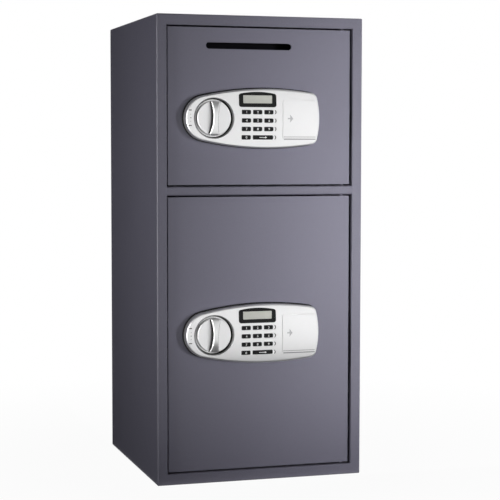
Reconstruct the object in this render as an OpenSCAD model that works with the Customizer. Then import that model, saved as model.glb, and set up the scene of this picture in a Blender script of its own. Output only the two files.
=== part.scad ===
// Two-door drop safe: a folded steel cabinet with a deposit door above a storage door.
// X is to the right, Y is to the back and Z is up, in millimetres.
// The origin is on the floor under the middle of the cabinet.

/* [Cabinet] */
// Width, side to side
cab_w = 350; // [340:1:420]
// Depth, front to back
cab_d = 355; // [300:1:450]
// Height
cab_h = 760; // [680:1:900]
// Thickness of the folded sheet
sheet_t = 2; // [1.5:0.1:2.5]
// Inside radius of the sheet's bends
bend_in = 1; // [0.5:0.1:3]
// Width of the front face beside the doors
jamb_w = 17; // [15:0.5:24]
// Height of the front face above the upper door
head_h = 17.5; // [15:0.5:24]
// Height of the front face below the lower door
sill_h = 18; // [15:0.5:24]
// Height of the opening for the upper door
upper_open_h = 258; // [250:1:320]
// Height of the middle rail
rail_h = 14.5; // [12:0.5:20]
// Depth of the door frame behind the front face
jamb_d = 35; // [30:1:50]
// Thickness of the back panel
back_t = 2; // [1.5:0.1:3]
// Thickness of the floor mats
mat_t = 2; // [1:0.5:4]
// Gap between a mat and the walls round it
mat_gap = 2; // [1:0.5:6]
// Radius of the anchor holes
anchor_r = 5; // [4:0.5:7]
// Distance between the base anchor holes, side to side
anchor_dx = 200; // [120:5:240]
// Distance between the base anchor holes, front to back
anchor_dy = 200; // [120:5:220]
// Distance between the rear anchor holes, up and down
anchor_dz = 400; // [200:10:500]

/* [Doors] */
// Thickness of the door plate
door_t = 4; // [3:0.5:6]
// Depth of the door face behind the front face
door_recess = 6; // [3:0.5:10]
// Gap at each side of a door
door_gap = 3; // [2.8:0.1:5]
// Gap above and below a door
door_gap_z = 2.5; // [1.5:0.1:4]
// Distance of the hinge line from the door's edge
pivot_in = 12; // [10:0.5:16]
// Depth of the hinge line behind the door face
pivot_back = 7.5; // [7:0.1:8.5]
// Radius of the hinge pins
pin_r = 3; // [2:0.25:3.5]
// Length of each hinge pin inside its block
pin_hold = 22; // [12:1:28]
// How far a hinge pin stands past the frame sheet that holds it
pin_past = 1.5; // [0.5:0.1:2]
// Width and depth of a hinge block
block_w = 14; // [11:0.5:16]
// Height of a hinge block
block_h = 30; // [24:1:50]
// Width of the deposit slot
slot_w = 145; // [110:1:180]
// Height of the deposit slot
slot_h = 10.5; // [6:0.5:16]
// Distance of the deposit slot below the door's top edge
slot_drop = 29; // [22:1:40]
// Distance of the deposit slot's middle from the lock edge of the door
slot_side = 136; // [120:1:160]

/* [Lock place] */
// Distance of the lock housing's round end from the lock edge of the door
lock_inset = 25.5; // [22:0.5:40]
// Distance of the upper lock's middle below its door's top edge
upper_lock_drop = 145.7; // [135:0.5:160]

/* [Lock housing] */
// Length of the housing
lock_len = 226; // [222:1:232]
// Height of the housing at its widest
lock_h = 96; // [90:0.2:100]
// How far the housing stands out from the door
lock_proud = 18; // [17:0.5:22]
// Distance of the widest place from the middle, towards the hinges
apex_x = 24.5; // [10:0.5:30]
// Radius of the long upper and lower edges
arc_r = 495; // [400:5:700]
// Radius of the bowed end
bow_r = 160; // [120:5:300]
// Radius of the two corners at the bowed end
corner_r = 11; // [6:0.5:14]
// Radius of the rounded rim
rim_r = 3; // [2:0.5:6]
// Radius of the crowned front
crown_r = 300; // [250:10:600]
// Thickness of the housing's walls
lock_wall = 2; // [1.5:0.1:2.5]

/* [Knob] */
// Distance of the knob from the housing's round end
knob_in = 47; // [46:0.5:50]
// Radius of the knob
knob_r = 28; // [24:0.5:29]
// Gap round the knob in its dish
dish_gap = 3.5; // [3:0.5:6]
// Thickness of the dish's floor
dish_floor = 8; // [5:0.5:9]
// Width of the slanted edge round the dish
dish_edge = 2.5; // [0.5:0.1:3]
// How far the knob's disc stays below the housing's front
disc_low = 0.8; // [0:0.1:2]
// Height of the grip above the disc
grip_h = 12; // [8:0.5:16]
// Width of the grip at its waist
waist_w = 8; // [6:0.5:12]
// Radius of the hollows at each side of the grip
scoop_r = 89; // [70:1:120]
// Radius of the grip's crowned front, from end to end
grip_crown_r = 60; // [50:5:200]
// Lean of the grip from upright
grip_lean = 2.5; // [0:0.5:5]
// Radius of the spindle
spindle_r = 4; // [3.5:0.1:4.5]

/* [Keypad] */
// Width of a key
key_w = 15; // [12:0.5:16]
// Height of a key
key_h = 6.5; // [5:0.5:8]
// Distance from key to key, side to side
key_dx = 19; // [18.5:0.5:20]
// Distance from key to key, up and down
key_dz = 13.6; // [12.5:0.1:13.8]
// Distance of the keypad's middle column from the housing's middle
pad_x = 7; // [5:0.5:8]
// Height of the first row above the housing's middle
pad_z = 10.2; // [9:0.2:11]
// How far a key stands out
key_proud = 0.8; // [0.4:0.1:1.5]
// How far a key travels
key_travel = 1.2; // [0.6:0.1:1.5]
// Gap round each key
key_gap = 0.3; // [0.2:0.05:0.5]
// Depth of the shallow channel that a row of keys stands in
row_d = 1; // [0.5:0.1:1.5]

/* [Display] */
// Width of the display's bezel
bezel_w = 63; // [58:1:66]
// Height of the bezel's lower edge above the housing's middle
bezel_z = 18.2; // [18:0.1:19.5]
// Height of the bezel at its middle
bezel_h = 24.6; // [20:0.2:25]
// Radius of the bezel's arched top
bezel_arch_r = 143; // [120:1:200]
// Radius of the bezel's corners
bezel_corner_r = 4; // [2:0.5:5]
// Width of the window
window_w = 49; // [40:1:52]
// Height of the window
window_h = 13; // [10:0.5:14]
// Height of the window's lower edge above the bezel's
window_up = 6; // [4:0.5:6.5]

/* [Battery cover] */
// Length of the cover
cover_l = 63; // [62:0.5:66]
// Height of the cover
cover_h = 62; // [60:0.5:64]
// Distance of the cover's middle below the housing's middle
cover_low = 1.3; // [0:0.1:2]
// Thickness of the cover at its middle
cover_t = 3.5; // [3:0.1:4]
// How far the cover slides to free the keyhole
cover_travel = 24; // [10:1:24]

/* [Boltwork] */
// Radius of a bolt
bolt_r = 8; // [6:0.5:8.5]
// Distance of a bolt above or below the knob
bolt_dz = 30; // [26:0.5:32]
// How far the bolts travel
bolt_travel = 18; // [14:0.5:18]
// How far a withdrawn bolt's tip stays inside the door's edge
bolt_back = 2; // [1:0.5:4]
// Thickness of the carrier plate
carrier_t = 2; // [1.5:0.1:2]
// Radius of the plunger that blocks the carrier
plunger_r = 2.5; // [2:0.1:2.8]
// How far the plunger travels
plunger_travel = 5; // [4:0.5:5]
// Depth of the mechanism cover behind the door plate
works_d = 34; // [32:0.5:40]
// Thickness of the mechanism cover's sheet
works_t = 1.2; // [0.8:0.1:1.5]

/* [Hidden] */
$fn = 72;

// Names of the two doors, and of the pieces that each of them carries
LEVELS = ["upper", "lower"];
KEYS = concat([for (digit = [1:9]) str("key_", digit)], ["key_0", "key_enter"]);
DOOR_PIECES = [
    "door_panel", "hinge_pins", "lock_housing", "display_bezel", "circuit_board",
    "battery_cover", "batteries", "key_cylinder", "key_plug", "knob", "spindle",
    "bolt_carrier", "solenoid", "plunger", "mechanism_cover", "cover_screws"
];

// Small overlap that lets a cut pass through a face
cut = 1;
// Running clearance of a shaft in its hole
run = 0.1;
// Clearance of a piece that drops into a seat
seat = 0.05;
// Clearance of a piece that slides or moves past another
slide = 0.3;
// Gap at each side of a bolt where it enters the door frame
strike_play = 0.75;
// Width of the ring left bare round an anchor hole in a floor mat
mat_cut = 4;

// Cabinet
bend_r = bend_in + sheet_t;
front_y = -cab_d / 2;
back_y = cab_d / 2;
open_x = cab_w / 2 - jamb_w;
open_top = cab_h - head_h;
rail_top = open_top - upper_open_h;
rail_z = rail_top - rail_h;
jamb_back = front_y + sheet_t + jamb_d;
inner_x = cab_w / 2 - sheet_t;

// Doors
door_y = front_y + door_recess;
door_back = door_y + door_t;
door_x = open_x - door_gap;
pivot_x = door_x - pivot_in;
pivot_y = door_y + pivot_back;
door_z = [[rail_top + door_gap_z, open_top - door_gap_z], [sill_h + door_gap_z, rail_z - door_gap_z]];
pin_out = door_gap_z + sheet_t + pin_past;
slot_x = slot_side - door_x;
slot_z = door_z[0][1] - slot_drop;

// Lock places
lock_x = lock_inset + lock_len / 2 - door_x;
lock_z = [door_z[0][1] - upper_lock_drop, (door_z[1][0] + door_z[1][1]) / 2];

// Outline of the housing, made of arcs that meet without a corner
left_x = -lock_len / 2;
top_c = [apex_x, lock_h / 2 - arc_r];
left_reach = left_x - apex_x;
end_r = (arc_r ^ 2 - left_reach ^ 2 - top_c[1] ^ 2) / (2 * (arc_r + left_reach));
end_c = [left_x + end_r, 0];
bow_c = [lock_len / 2 - bow_r, 0];
corner_c = meet(top_c, arc_r - corner_r, bow_c, bow_r - corner_r);
rim_steps = 6;

// Knob, spindle and crank, on the knob's line
knob_x = left_x + knob_in;
dish_r = knob_r + dish_gap;
knob_front = disc_low - lock_proud;
knob_base = -dish_floor - slide;
scoop_x = scoop_r + waist_w / 2;
knob_bore = 9;
crank_r = bolt_travel / 2 * sqrt(2);
crank_pin_r = 2.5;
crank_pin_play = 0.5;
crank_rim = 2;
crank_disc_r = crank_r + crank_pin_r + crank_rim;
crank_disc_t = 3;
crank_gap = 1.5;
crank_y = door_t + crank_gap;
carrier_gap = 0.5;
carrier_y = crank_y + crank_disc_t + carrier_gap;
carrier_back = carrier_y + carrier_t;
tail_step = 1;
tail_r = spindle_r - tail_step;
clip_t = 0.8;
clip_rim = 2;
disc_edge = 1.2;
grip_edge = 2.5;
grip_in = 0.3;
grip_draft = 0.8;

// Bolts and their carrier, on the knob's line
bolt_gap = 4;
bolt_y = door_t + bolt_gap + bolt_r;
guide_set = 6;
guide_t = 8;
guide_rim = 2;
guide_left = -door_x + guide_set - lock_x - knob_x;
flange_gap = 1;
flange_x = guide_left + guide_t + flange_gap + bolt_travel;
bolt_tip = bolt_back - door_x - lock_x - knob_x;
carrier_rim = 4;
carrier_h = 2 * (bolt_dz + bolt_r + carrier_rim);
slot_spare = 1;
slot_half = tail_r + slot_spare;
carrier_end = 3.5;
carrier_right = bolt_travel + slot_half + slot_spare + carrier_end;
tab_w = 8;
tab_d = 11;

// Solenoid and plunger, on the knob's line. The plunger rises beside the carrier's tab,
// midway between the two places of the tab
plunger_gap = 1;
plunger_x = carrier_right - (tab_w + bolt_travel) / 2;
plunger_y = carrier_back + plunger_r + plunger_gap;
plunger_tip = -carrier_h / 2 - carrier_t - plunger_gap;
plunger_show = 3;
plunger_head_h = 2;
plunger_head_rim = 1.5;
plunger_taper = 1;
head_gap = 0.5;
coil_top = plunger_tip - plunger_show;
coil_h = 28;
coil_r = 8;
yoke_t = 1.5;
yoke_w = 18;
plunger_end = coil_top - coil_h - plunger_travel - head_gap;

// Keypad and board
key_rows = 4;
key_corner_r = 1.2;
flange_w = 1;
flange_t = 1;
front_wall = 5;
web_y = front_wall - lock_proud;
bezel_floor = 2.5;
bezel_seat = web_y - bezel_floor;
window_play = 1;
lcd_rim = 0.5;
key_spare = 0.4;
board_y = web_y + slide + flange_t + key_travel + key_spare;
board_t = 1.6;
board_dish_gap = 2.5;
board_cover_gap = 4;
board_rim = 8.2;
board_left = knob_x + dish_r + lock_wall + board_dish_gap;
board_right = lock_len / 2 - cover_l - board_cover_gap;
board_top = lock_h / 2 - board_rim;
boss_r = 2;
row_margin = 0.75;
row_side = 4.5;
row_shift = 1;
row_x = pad_x + row_shift;
row_w = 2 * (key_dx + row_side) + key_w;

// Battery cover, battery tray and override lock, in the housing
cover_x = lock_len / 2 - cover_l;
cover_back = cover_t - lock_proud;
cover_floor_gap = 0.2;
tongue = 1;
tongue_in = 2;
tongue_stay = 7.5;
tongue_left = cover_x + tongue_in;
tongue_right = lock_len / 2 - cover_travel - tongue_stay;
tongue_z = cover_h / 2 + tongue;
tray_t = 2;
tray_end = 7;
tray_low = 0.7;
cell_r = 7.25;
cell_l = 50.5;
cell_nub = 1.3;
cell_gap = 0.5;
cell_play = 1.5;
tray_w = 4 * cell_r + 3 * cell_gap;
tray_right = lock_len / 2 - tray_end;
tray_left = tray_right - tray_w;
tray_h = cell_l + cell_play;
tray_z = -cover_low - tray_low;
tray_back = cover_back + 4 * cell_r + 3 * cell_gap;
well_left = cover_x + tray_t;
well_right = tray_left - tray_t;
well_floor = -4;
plug_r = 6.5;
barrel_r = 9.4;
barrel_head_r = 10;
barrel_head_t = 2;
barrel_x = (well_left + well_right) / 2;
barrel_z = -cover_low;
barrel_past = 12;
barrel_end = door_t + barrel_past;
nut_r = 12;
nut_t = 4;
cam_gap = 0.5;
cam_y = barrel_end + cam_gap;
cam_l = 16;
cam_w = 8;
cam_t = 3;
keyway_w = 2;
keyway_h = 8;
keyway_d = 7;

// Mechanism cover and the posts that it is screwed to
works_edge = 3;
works_past = 7.5;
works_under = 7;
works_over = 4;
works_rise = 30;
works_left = -door_x + works_edge - lock_x;
works_right = lock_len / 2 + works_past;
works_bottom = plunger_end - plunger_head_h - works_under;
works_slope_z = carrier_h / 2 + works_over;
works_top = works_slope_z + works_rise;
works_back = door_t + works_d;
post_r = 4;
post_edge = 7;
post_low = 8;
post_left = 9;
post_clear = 16;
post_right_x = works_right - post_edge;
post_high_z = works_slope_z - post_low;
post_low_z = works_bottom + post_low;
post_places = [
    [knob_x + carrier_right + post_clear, post_high_z], [post_right_x, post_high_z],
    [works_left + post_left, post_low_z], [post_right_x, post_low_z]
];
bolt_window = 1;
screw_r = 2;
screw_l = 14;
screw_head_r = 4;
screw_head_t = 2.4;

// Deposit baffle
baffle_t = 1.5;
baffle_side = 10;
baffle_over = 6;
baffle_under = 16;
baffle_w = slot_w + 2 * baffle_side;
baffle_d = 26;
baffle_top = slot_z + slot_h / 2 + baffle_over;
baffle_drop = slot_z - slot_h / 2 - baffle_under;
baffle_lip = 10;
baffle_flange = 12;

cabinet_grey = [0.26, 0.26, 0.29];
steel_grey = [0.62, 0.63, 0.65];
silver = [0.84, 0.84, 0.86];
black = [0.07, 0.07, 0.08];

// Points of an arc, from one angle to another
function arc(centre, r, from, to, steps) =
    [for (i = [0:steps]) let (a = from + (to - from) * i / steps) centre + r * [cos(a), sin(a)]];

// Where two circles cross, on the left of the line from the first centre to the second
function meet(c0, r0, c1, r1) =
    let (d = norm(c1 - c0), u = (c1 - c0) / d, a = (d ^ 2 + r0 ^ 2 - r1 ^ 2) / (2 * d))
    c0 + a * u + sqrt(r0 ^ 2 - a ^ 2) * (c0[1] < c1[1] ? [u[1], -u[0]] : [-u[1], u[0]]);

function angle_to(from, to) = atan2(to[1] - from[1], to[0] - from[0]);

// How far the crowned front lies behind its highest line, at a height above the middle
function crown(z) = crown_r - sqrt(crown_r ^ 2 - z ^ 2);

// Upper half of the housing's outline from the round end to the bowed end, drawn in by an inset
function half_outline(inset) =
    let (
        a = angle_to(top_c, end_c),
        b = angle_to(top_c, corner_c),
        c = angle_to(bow_c, corner_c)
    )
    concat(
        arc(end_c, end_r - inset, 180, a, 12),
        arc(top_c, arc_r - inset, a, b, 22),
        arc(corner_c, corner_r - inset, b, c, 5),
        arc(bow_c, bow_r - inset, c, 0, 5)
    );

function outline(inset) =
    let (top = half_outline(inset))
    concat(top, [for (i = [len(top) - 2:-1:1]) [top[i][0], -top[i][1]]]);

// Places of the eleven keys: [middle, width], by number in KEYS
function key_place(i) =
    i < 9 ? [pad_x + (i % 3 - 1) * key_dx, key_w]
    : i == 9 ? [pad_x - key_dx, key_w]
    : [pad_x + key_dx / 2, key_w + key_dx];

function row_z(row) = pad_z - row * key_dz;

// Carries an outline drawn in X and Z through the depth from y0 to y1
module along_y(y0, y1)
    translate([0, y1, 0])
        rotate([90, 0, 0])
            linear_extrude(y1 - y0)
                children();

// Carries an outline drawn in Y and Z across the width from x0 to x1
module along_x(x0, x1)
    translate([x0, 0, 0])
        rotate([90, 0, 90])
            linear_extrude(x1 - x0)
                children();

module block(low, high)
    translate(low)
        cube(high - low);

module rod_x(r, x0, x1)
    translate([x0, 0, 0])
        rotate([0, 90, 0])
            cylinder(r = r, h = x1 - x0);

module rod_y(r, y0, y1)
    translate([0, y1, 0])
        rotate([90, 0, 0])
            cylinder(r = r, h = y1 - y0);

// Rectangle with round corners, from a low corner to a high corner
module round_rect(low, high, r) {
    translate([low[0] + r, low[1]])
        square([high[0] - low[0] - 2 * r, high[1] - low[1]]);
    translate([low[0], low[1] + r])
        square([high[0] - low[0], high[1] - low[1] - 2 * r]);
    for (x = [low[0] + r, high[0] - r])
        for (y = [low[1] + r, high[1] - r])
            translate([x, y])
                circle(r);
}

// Slot with two round ends, from a low corner to a high corner
module long_slot(low, high) {
    r = (high[1] - low[1]) / 2;
    translate([low[0] + r, low[1]])
        square([high[0] - low[0] - 2 * r, 2 * r]);
    for (x = [low[0] + r, high[0] - r])
        translate([x, low[1] + r])
            circle(r);
}

module at_lock(level)
    translate([lock_x, door_y, lock_z[level]])
        children();

module at_knob(level)
    at_lock(level)
        translate([knob_x, 0, 0])
            children();

// The cabinet's outer form, or with an inset the hollow in it, rounded along every bend
module cabinet_form(inset) {
    r = bend_r - inset;
    x = cab_w / 2 - inset;
    y = front_y + inset;
    far = back_y + bend_r + cut;
    intersection() {
        along_y(y, inset > 0 ? back_y + cut : back_y)
            round_rect([-x, inset], [x, cab_h - inset], r);
        translate([0, 0, inset])
            linear_extrude(cab_h - 2 * inset)
                round_rect([-x, y], [x, far], r);
        along_x(-x, x)
            round_rect([y, inset], [far, cab_h - inset], r);
    }
}

module base_holes(r, z0, z1)
    for (x = [-1, 1], y = [-1, 1])
        translate([x * anchor_dx / 2, y * anchor_dy / 2, z0])
            cylinder(r = r, h = z1 - z0);

// One folded sheet: sides, top, floor and the turned-in front face
module cabinet_shell()
    color(cabinet_grey)
        difference() {
            cabinet_form(0);
            cabinet_form(sheet_t);
            block([-open_x, front_y - cut, sill_h], [open_x, front_y + sheet_t + cut, open_top]);
            base_holes(anchor_r, -cut, sheet_t + cut);
        }

module hinge_holes()
    for (z = [sill_h - sheet_t, rail_z, rail_top - sheet_t, open_top])
        translate([pivot_x, pivot_y, z - cut])
            cylinder(r = pin_r + run, h = sheet_t + 2 * cut);

// Jambs that line the opening and turn out to the cabinet's walls behind it
module door_frame() {
    y0 = front_y + sheet_t;
    out = sheet_t;
    color(cabinet_grey)
        difference() {
            union() {
                along_y(y0, jamb_back)
                    translate([-open_x - out, sill_h - out])
                        square([2 * (open_x + out), open_top - sill_h + 2 * out]);
                along_y(jamb_back - sheet_t, jamb_back)
                    round_rect([-inner_x, sheet_t], [inner_x, cab_h - sheet_t], bend_in);
            }
            block([-open_x, y0 - cut, sill_h], [open_x, jamb_back + cut, open_top]);
            hinge_holes();
            for (level = [0, 1])
                at_knob(level)
                    for (side = [-1, 1])
                        translate([0, bolt_y, side * bolt_dz])
                            rod_x(bolt_r + strike_play, -cab_w / 2, flange_x);
        }
}

// Deck between the compartments, folded down and back at the front to make the middle rail
module divider_shelf() {
    color(cabinet_grey)
        difference() {
            union() {
                along_x(-open_x, open_x)
                    difference() {
                        round_rect([front_y, rail_z], [back_y, rail_top], bend_r);
                        round_rect(
                            [front_y + sheet_t, rail_z + sheet_t],
                            [back_y + cut, rail_top - sheet_t],
                            bend_in
                        );
                        translate([jamb_back, rail_z - cut])
                            square([cab_d, rail_h + 2 * cut]);
                    }
                block(
                    [-open_x, jamb_back - cut, rail_top - sheet_t],
                    [open_x, jamb_back + cut, rail_top]
                );
                block(
                    [-inner_x, jamb_back, rail_top - sheet_t],
                    [inner_x, back_y - back_t, rail_top]
                );
            }
            hinge_holes();
        }
}

module back_panel()
    color(cabinet_grey)
        difference() {
            along_y(back_y - back_t, back_y)
                round_rect([-inner_x, sheet_t], [inner_x, cab_h - sheet_t], bend_in);
            for (x = [-1, 1], z = [-1, 1])
                translate([x * anchor_dx / 2, 0, cab_h / 2 + z * anchor_dz / 2])
                    rod_y(anchor_r, back_y - back_t - cut, back_y + cut);
        }

// Felt on both floors, cut away round the anchor holes
module floor_mats()
    color([0.16, 0.16, 0.17])
        difference() {
            for (z = [sheet_t, rail_top])
                block(
                    [mat_gap - inner_x, jamb_back + mat_gap, z],
                    [inner_x - mat_gap, back_y - back_t - mat_gap, z + mat_t]
                );
            base_holes(anchor_r + mat_cut, sheet_t - cut, sheet_t + mat_t + cut);
        }

// Hood behind the deposit slot that keeps a hand or a hook out
module upper_slot_baffle() {
    y0 = door_back;
    y1 = door_back + baffle_d;
    t = baffle_t;
    side = [
        [y0, baffle_top], [y1, baffle_top], [y1, baffle_drop],
        [y1 - baffle_lip, baffle_drop - baffle_lip], [y0, baffle_drop - baffle_lip]
    ];
    color(cabinet_grey)
        translate([slot_x, 0, 0]) {
            along_x(-baffle_w / 2, baffle_w / 2)
                polygon([
                    [y0, baffle_top + baffle_flange],
                    [y0 + t, baffle_top + baffle_flange], [y0 + t, baffle_top],
                    [y1, baffle_top], [y1, baffle_drop], [y1 - baffle_lip, baffle_drop - baffle_lip],
                    [y1 - baffle_lip - t, baffle_drop - baffle_lip], [y1 - t, baffle_drop + t / 2],
                    [y1 - t, baffle_top - t], [y0, baffle_top - t]
                ]);
            for (x = [-baffle_w / 2, baffle_w / 2 - t])
                along_x(x, x + t)
                    polygon(side);
        }
}

// Door plate with its hinge blocks, bolt guide and posts welded on behind
module door_panel(level) {
    z0 = door_z[level][0];
    z1 = door_z[level][1];
    color(cabinet_grey)
        difference() {
            union() {
                block([-door_x, door_y, z0], [door_x, door_back, z1]);
                for (z = [z0, z1 - block_h])
                    block(
                        [pivot_x - block_w / 2, door_back, z],
                        [pivot_x + block_w / 2, pivot_y + block_w / 2, z + block_h]
                    );
                at_knob(level)
                    block(
                        [guide_left, door_t, -carrier_h / 2],
                        [guide_left + guide_t, bolt_y + bolt_r + guide_rim, carrier_h / 2]
                    );
                at_lock(level)
                    for (p = post_places)
                        translate([p[0], 0, p[1]])
                            rod_y(post_r, door_t, works_back - works_t);
            }
            for (z = [z0 - cut, z1 - pin_hold])
                translate([pivot_x, pivot_y, z])
                    cylinder(r = pin_r + seat, h = pin_hold + cut);
            at_knob(level) {
                rod_y(spindle_r + run, -cut, door_t + cut);
                for (side = [-1, 1])
                    translate([0, bolt_y, side * bolt_dz])
                        rod_x(bolt_r + run, guide_left - cut, guide_left + guide_t + cut);
            }
            at_lock(level) {
                translate([barrel_x, 0, barrel_z])
                    rod_y(barrel_r + slide, -cut, door_t + cut);
                block(
                    [tray_left - tray_t - slide, -cut, tray_z - tray_h / 2 - tray_t - slide],
                    [tray_right + tray_t + slide, door_t + cut, tray_z + tray_h / 2 + tray_t + slide]
                );
                for (p = post_places)
                    translate([p[0], 0, p[1]])
                        rod_y(screw_r + seat, works_back - works_t - screw_l - cut, works_back);
            }
            if (level == 0)
                along_y(door_y - cut, door_back + cut)
                    long_slot(
                        [slot_x - slot_w / 2, slot_z - slot_h / 2],
                        [slot_x + slot_w / 2, slot_z + slot_h / 2]
                    );
        }
}

// The two pivot pins of a door
module hinge_pins(level) {
    z0 = door_z[level][0];
    z1 = door_z[level][1];
    color(steel_grey)
        for (z = [z0 - pin_out, z1 - pin_hold])
            translate([pivot_x, pivot_y, z])
                cylinder(r = pin_r, h = pin_hold + pin_out);
}

// Everything inside the housing's outline with its crowned front and rounded rim
module housing_form() {
    rings = concat(
        [for (p = outline(0)) [p[0], 0, p[1]]],
        [
            for (k = [0:rim_steps])
                let (t = 90 * k / rim_steps)
                for (p = outline(rim_r * (1 - cos(t))))
                    [p[0], crown(p[1]) + rim_r * (1 - sin(t)) - lock_proud, p[1]]
        ]
    );
    hull()
        polyhedron(rings, [[for (i = [0:len(rings) - 1]) i]]);
}

// The bezel's outline, its arched top blended into the sides
module bezel_outline(grow) {
    top_z = bezel_z + bezel_h;
    arch_c = [0, top_z - bezel_arch_r];
    x = bezel_w / 2 - bezel_corner_r;
    z = arch_c[1] + sqrt((bezel_arch_r - bezel_corner_r) ^ 2 - x ^ 2);
    r = bezel_corner_r + grow;
    a = angle_to(arch_c, [x, z]);
    half = concat(
        arc([x, bezel_z + bezel_corner_r], r, -90, 0, 4),
        arc([x, z], r, 0, a, 4),
        arc(arch_c, bezel_arch_r + grow, a, 90, 5)
    );
    translate([pad_x, 0])
        polygon(concat(half, [for (i = [len(half) - 2:-1:0]) [-half[i][0], half[i][1]]]));
}

module window_outline(grow)
    translate([pad_x - window_w / 2 - grow, bezel_z + window_up - grow])
        square([window_w + 2 * grow, window_h + 2 * grow]);

module cover_outline(grow)
    translate([cover_x - grow, -cover_low - cover_h / 2 - grow])
        square([cover_l + cut, cover_h + 2 * grow]);

// Cast cover over the lock, with the knob's dish and wells for keys, display, cells and override lock
module lock_housing(level)
    color(silver)
        at_lock(level)
            difference() {
                union() {
                    housing_form();
                    block(
                        [tray_left - tray_t, -cut, tray_z - tray_h / 2 - tray_t],
                        [tray_right + tray_t, tray_back + tray_t, tray_z + tray_h / 2 + tray_t]
                    );
                }
                difference() {
                    along_y(web_y, cut)
                        intersection() {
                            polygon(outline(lock_wall));
                            translate([knob_x, -lock_h])
                                square([cover_x - knob_x, 2 * lock_h]);
                        }
                    translate([knob_x, 0, 0])
                        rod_y(dish_r + lock_wall, -lock_proud, 2 * cut);
                    for (x = [board_left + boss_r, board_right - boss_r], side = [-1, 1])
                        translate([x, 0, side * (board_top - boss_r)])
                            rod_y(boss_r, web_y - cut, board_y);
                }
                translate([knob_x, 0, 0]) {
                    rod_y(dish_r, -lock_proud - cut, -dish_floor);
                    translate([0, dish_edge - lock_proud, 0])
                        rotate([90, 0, 0])
                            cylinder(r1 = dish_r, r2 = dish_r + dish_edge + cut, h = dish_edge + cut);
                    rod_y(spindle_r + run, -lock_proud, cut);
                }
                along_y(-lock_proud - cut, bezel_seat)
                    bezel_outline(seat);
                along_y(-lock_proud - cut, web_y + cut)
                    window_outline(window_play);
                for (row = [0:key_rows - 1])
                    along_y(-lock_proud - cut, crown(row_z(row)) + row_d - lock_proud)
                        round_rect(
                            [row_x - row_w / 2, row_z(row) - key_h / 2 - row_margin],
                            [row_x + row_w / 2, row_z(row) + key_h / 2 + row_margin],
                            key_h / 2
                        );
                for (i = [0:len(KEYS) - 1])
                    along_y(-lock_proud - cut, web_y + cut)
                        key_outline(i, key_gap);
                along_y(-lock_proud - cut, cover_back + cover_floor_gap)
                    cover_outline(slide);
                block(
                    [tongue_left - slide, cover_back - tongue - slide, -cover_low - tongue_z - slide],
                    [lock_len, cover_back + cover_floor_gap, tongue_z + slide - cover_low]
                );
                block(
                    [tray_left, cover_back, tray_z - tray_h / 2],
                    [tray_right, tray_back, tray_z + tray_h / 2]
                );
                block(
                    [well_left, cover_back, tray_z - tray_h / 2],
                    [well_right, well_floor, tray_z + tray_h / 2]
                );
                translate([barrel_x, 0, barrel_z])
                    rod_y(barrel_r + seat, cover_back, cut);
            }

module display_bezel(level)
    color(black)
        at_lock(level)
            difference() {
                intersection() {
                    along_y(-lock_proud - 2 * cut, bezel_seat)
                        bezel_outline(0);
                    translate([0, crown_r - lock_proud, 0])
                        rod_x(crown_r + key_proud, -lock_len, lock_len, $fn = 720);
                }
                along_y(-lock_proud - 2 * cut, web_y)
                    window_outline(0);
            }

// Board behind the keys, with the display module standing on it
module circuit_board(level)
    color([0.13, 0.36, 0.2])
        at_lock(level) {
            block([board_left, board_y, -board_top], [board_right, board_y + board_t, board_top]);
            along_y(bezel_seat + slide, board_y + board_t / 2)
                window_outline(lcd_rim);
        }

// Sliding cover at the bowed end, cut from the housing's own form, with a tongue along each side
module battery_cover(level)
    color(silver)
        at_lock(level)
            intersection() {
                housing_form();
                union() {
                    along_y(-lock_proud - cut, cover_back)
                        cover_outline(0);
                    block(
                        [tongue_left, cover_back - tongue, -cover_low - tongue_z],
                        [tongue_right, cover_back, tongue_z - cover_low]
                    );
                }
            }

// Four cells, two wide and two deep, each with its raised contact
module batteries(level) {
    dx = cell_r + cell_gap / 2;
    color([0.2, 0.3, 0.5])
        at_lock(level)
            for (x = [-1, 1], y = [1, 3])
                translate([
                    (tray_left + tray_right) / 2 + x * dx,
                    cover_back + cell_gap + y * dx,
                    tray_z - cell_l / 2
                ]) {
                    cylinder(r = cell_r, h = cell_l - cell_nub);
                    cylinder(r = cell_r / 3, h = cell_l);
                }
}

// Barrel of the override lock, with the nut that holds it behind the door
module key_cylinder(level)
    color(steel_grey)
        at_lock(level)
            translate([barrel_x, 0, barrel_z])
                difference() {
                    union() {
                        rod_y(barrel_head_r, well_floor - barrel_head_t, well_floor);
                        rod_y(barrel_r, well_floor - cut, barrel_end);
                        translate([0, door_t + nut_t, 0])
                            rotate([90, 30, 0])
                                cylinder(r = nut_r, h = nut_t, $fn = 6);
                    }
                    rod_y(plug_r + run, well_floor - barrel_head_t - cut, barrel_end + cut);
                }

// Turning plug with its keyway and the cam at its back
module key_plug(level)
    color([0.75, 0.65, 0.38])
        at_lock(level)
            translate([barrel_x, 0, barrel_z]) {
                front = well_floor - barrel_head_t - slide;
                difference() {
                    rod_y(plug_r, front, cam_y + cut);
                    block(
                        [-keyway_w / 2, front - cut, -keyway_h / 2],
                        [keyway_w / 2, front + keyway_d, keyway_h / 2]
                    );
                }
                along_y(cam_y, cam_y + cam_t)
                    union() {
                        circle(plug_r);
                        translate([-cam_w / 2, -cam_l])
                            square([cam_w, cam_l]);
                    }
            }

// Half section of a round piece with a rounded front edge, from its back to its front
module disc_section(r, back, front, edge) {
    translate([0, -back])
        square([r, back - front - edge]);
    translate([0, -back])
        square([r - edge, back - front]);
    translate([r - edge, -front - edge])
        circle(edge);
}

module turned_y()
    rotate([90, 0, 0])
        rotate_extrude()
            children();

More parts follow.
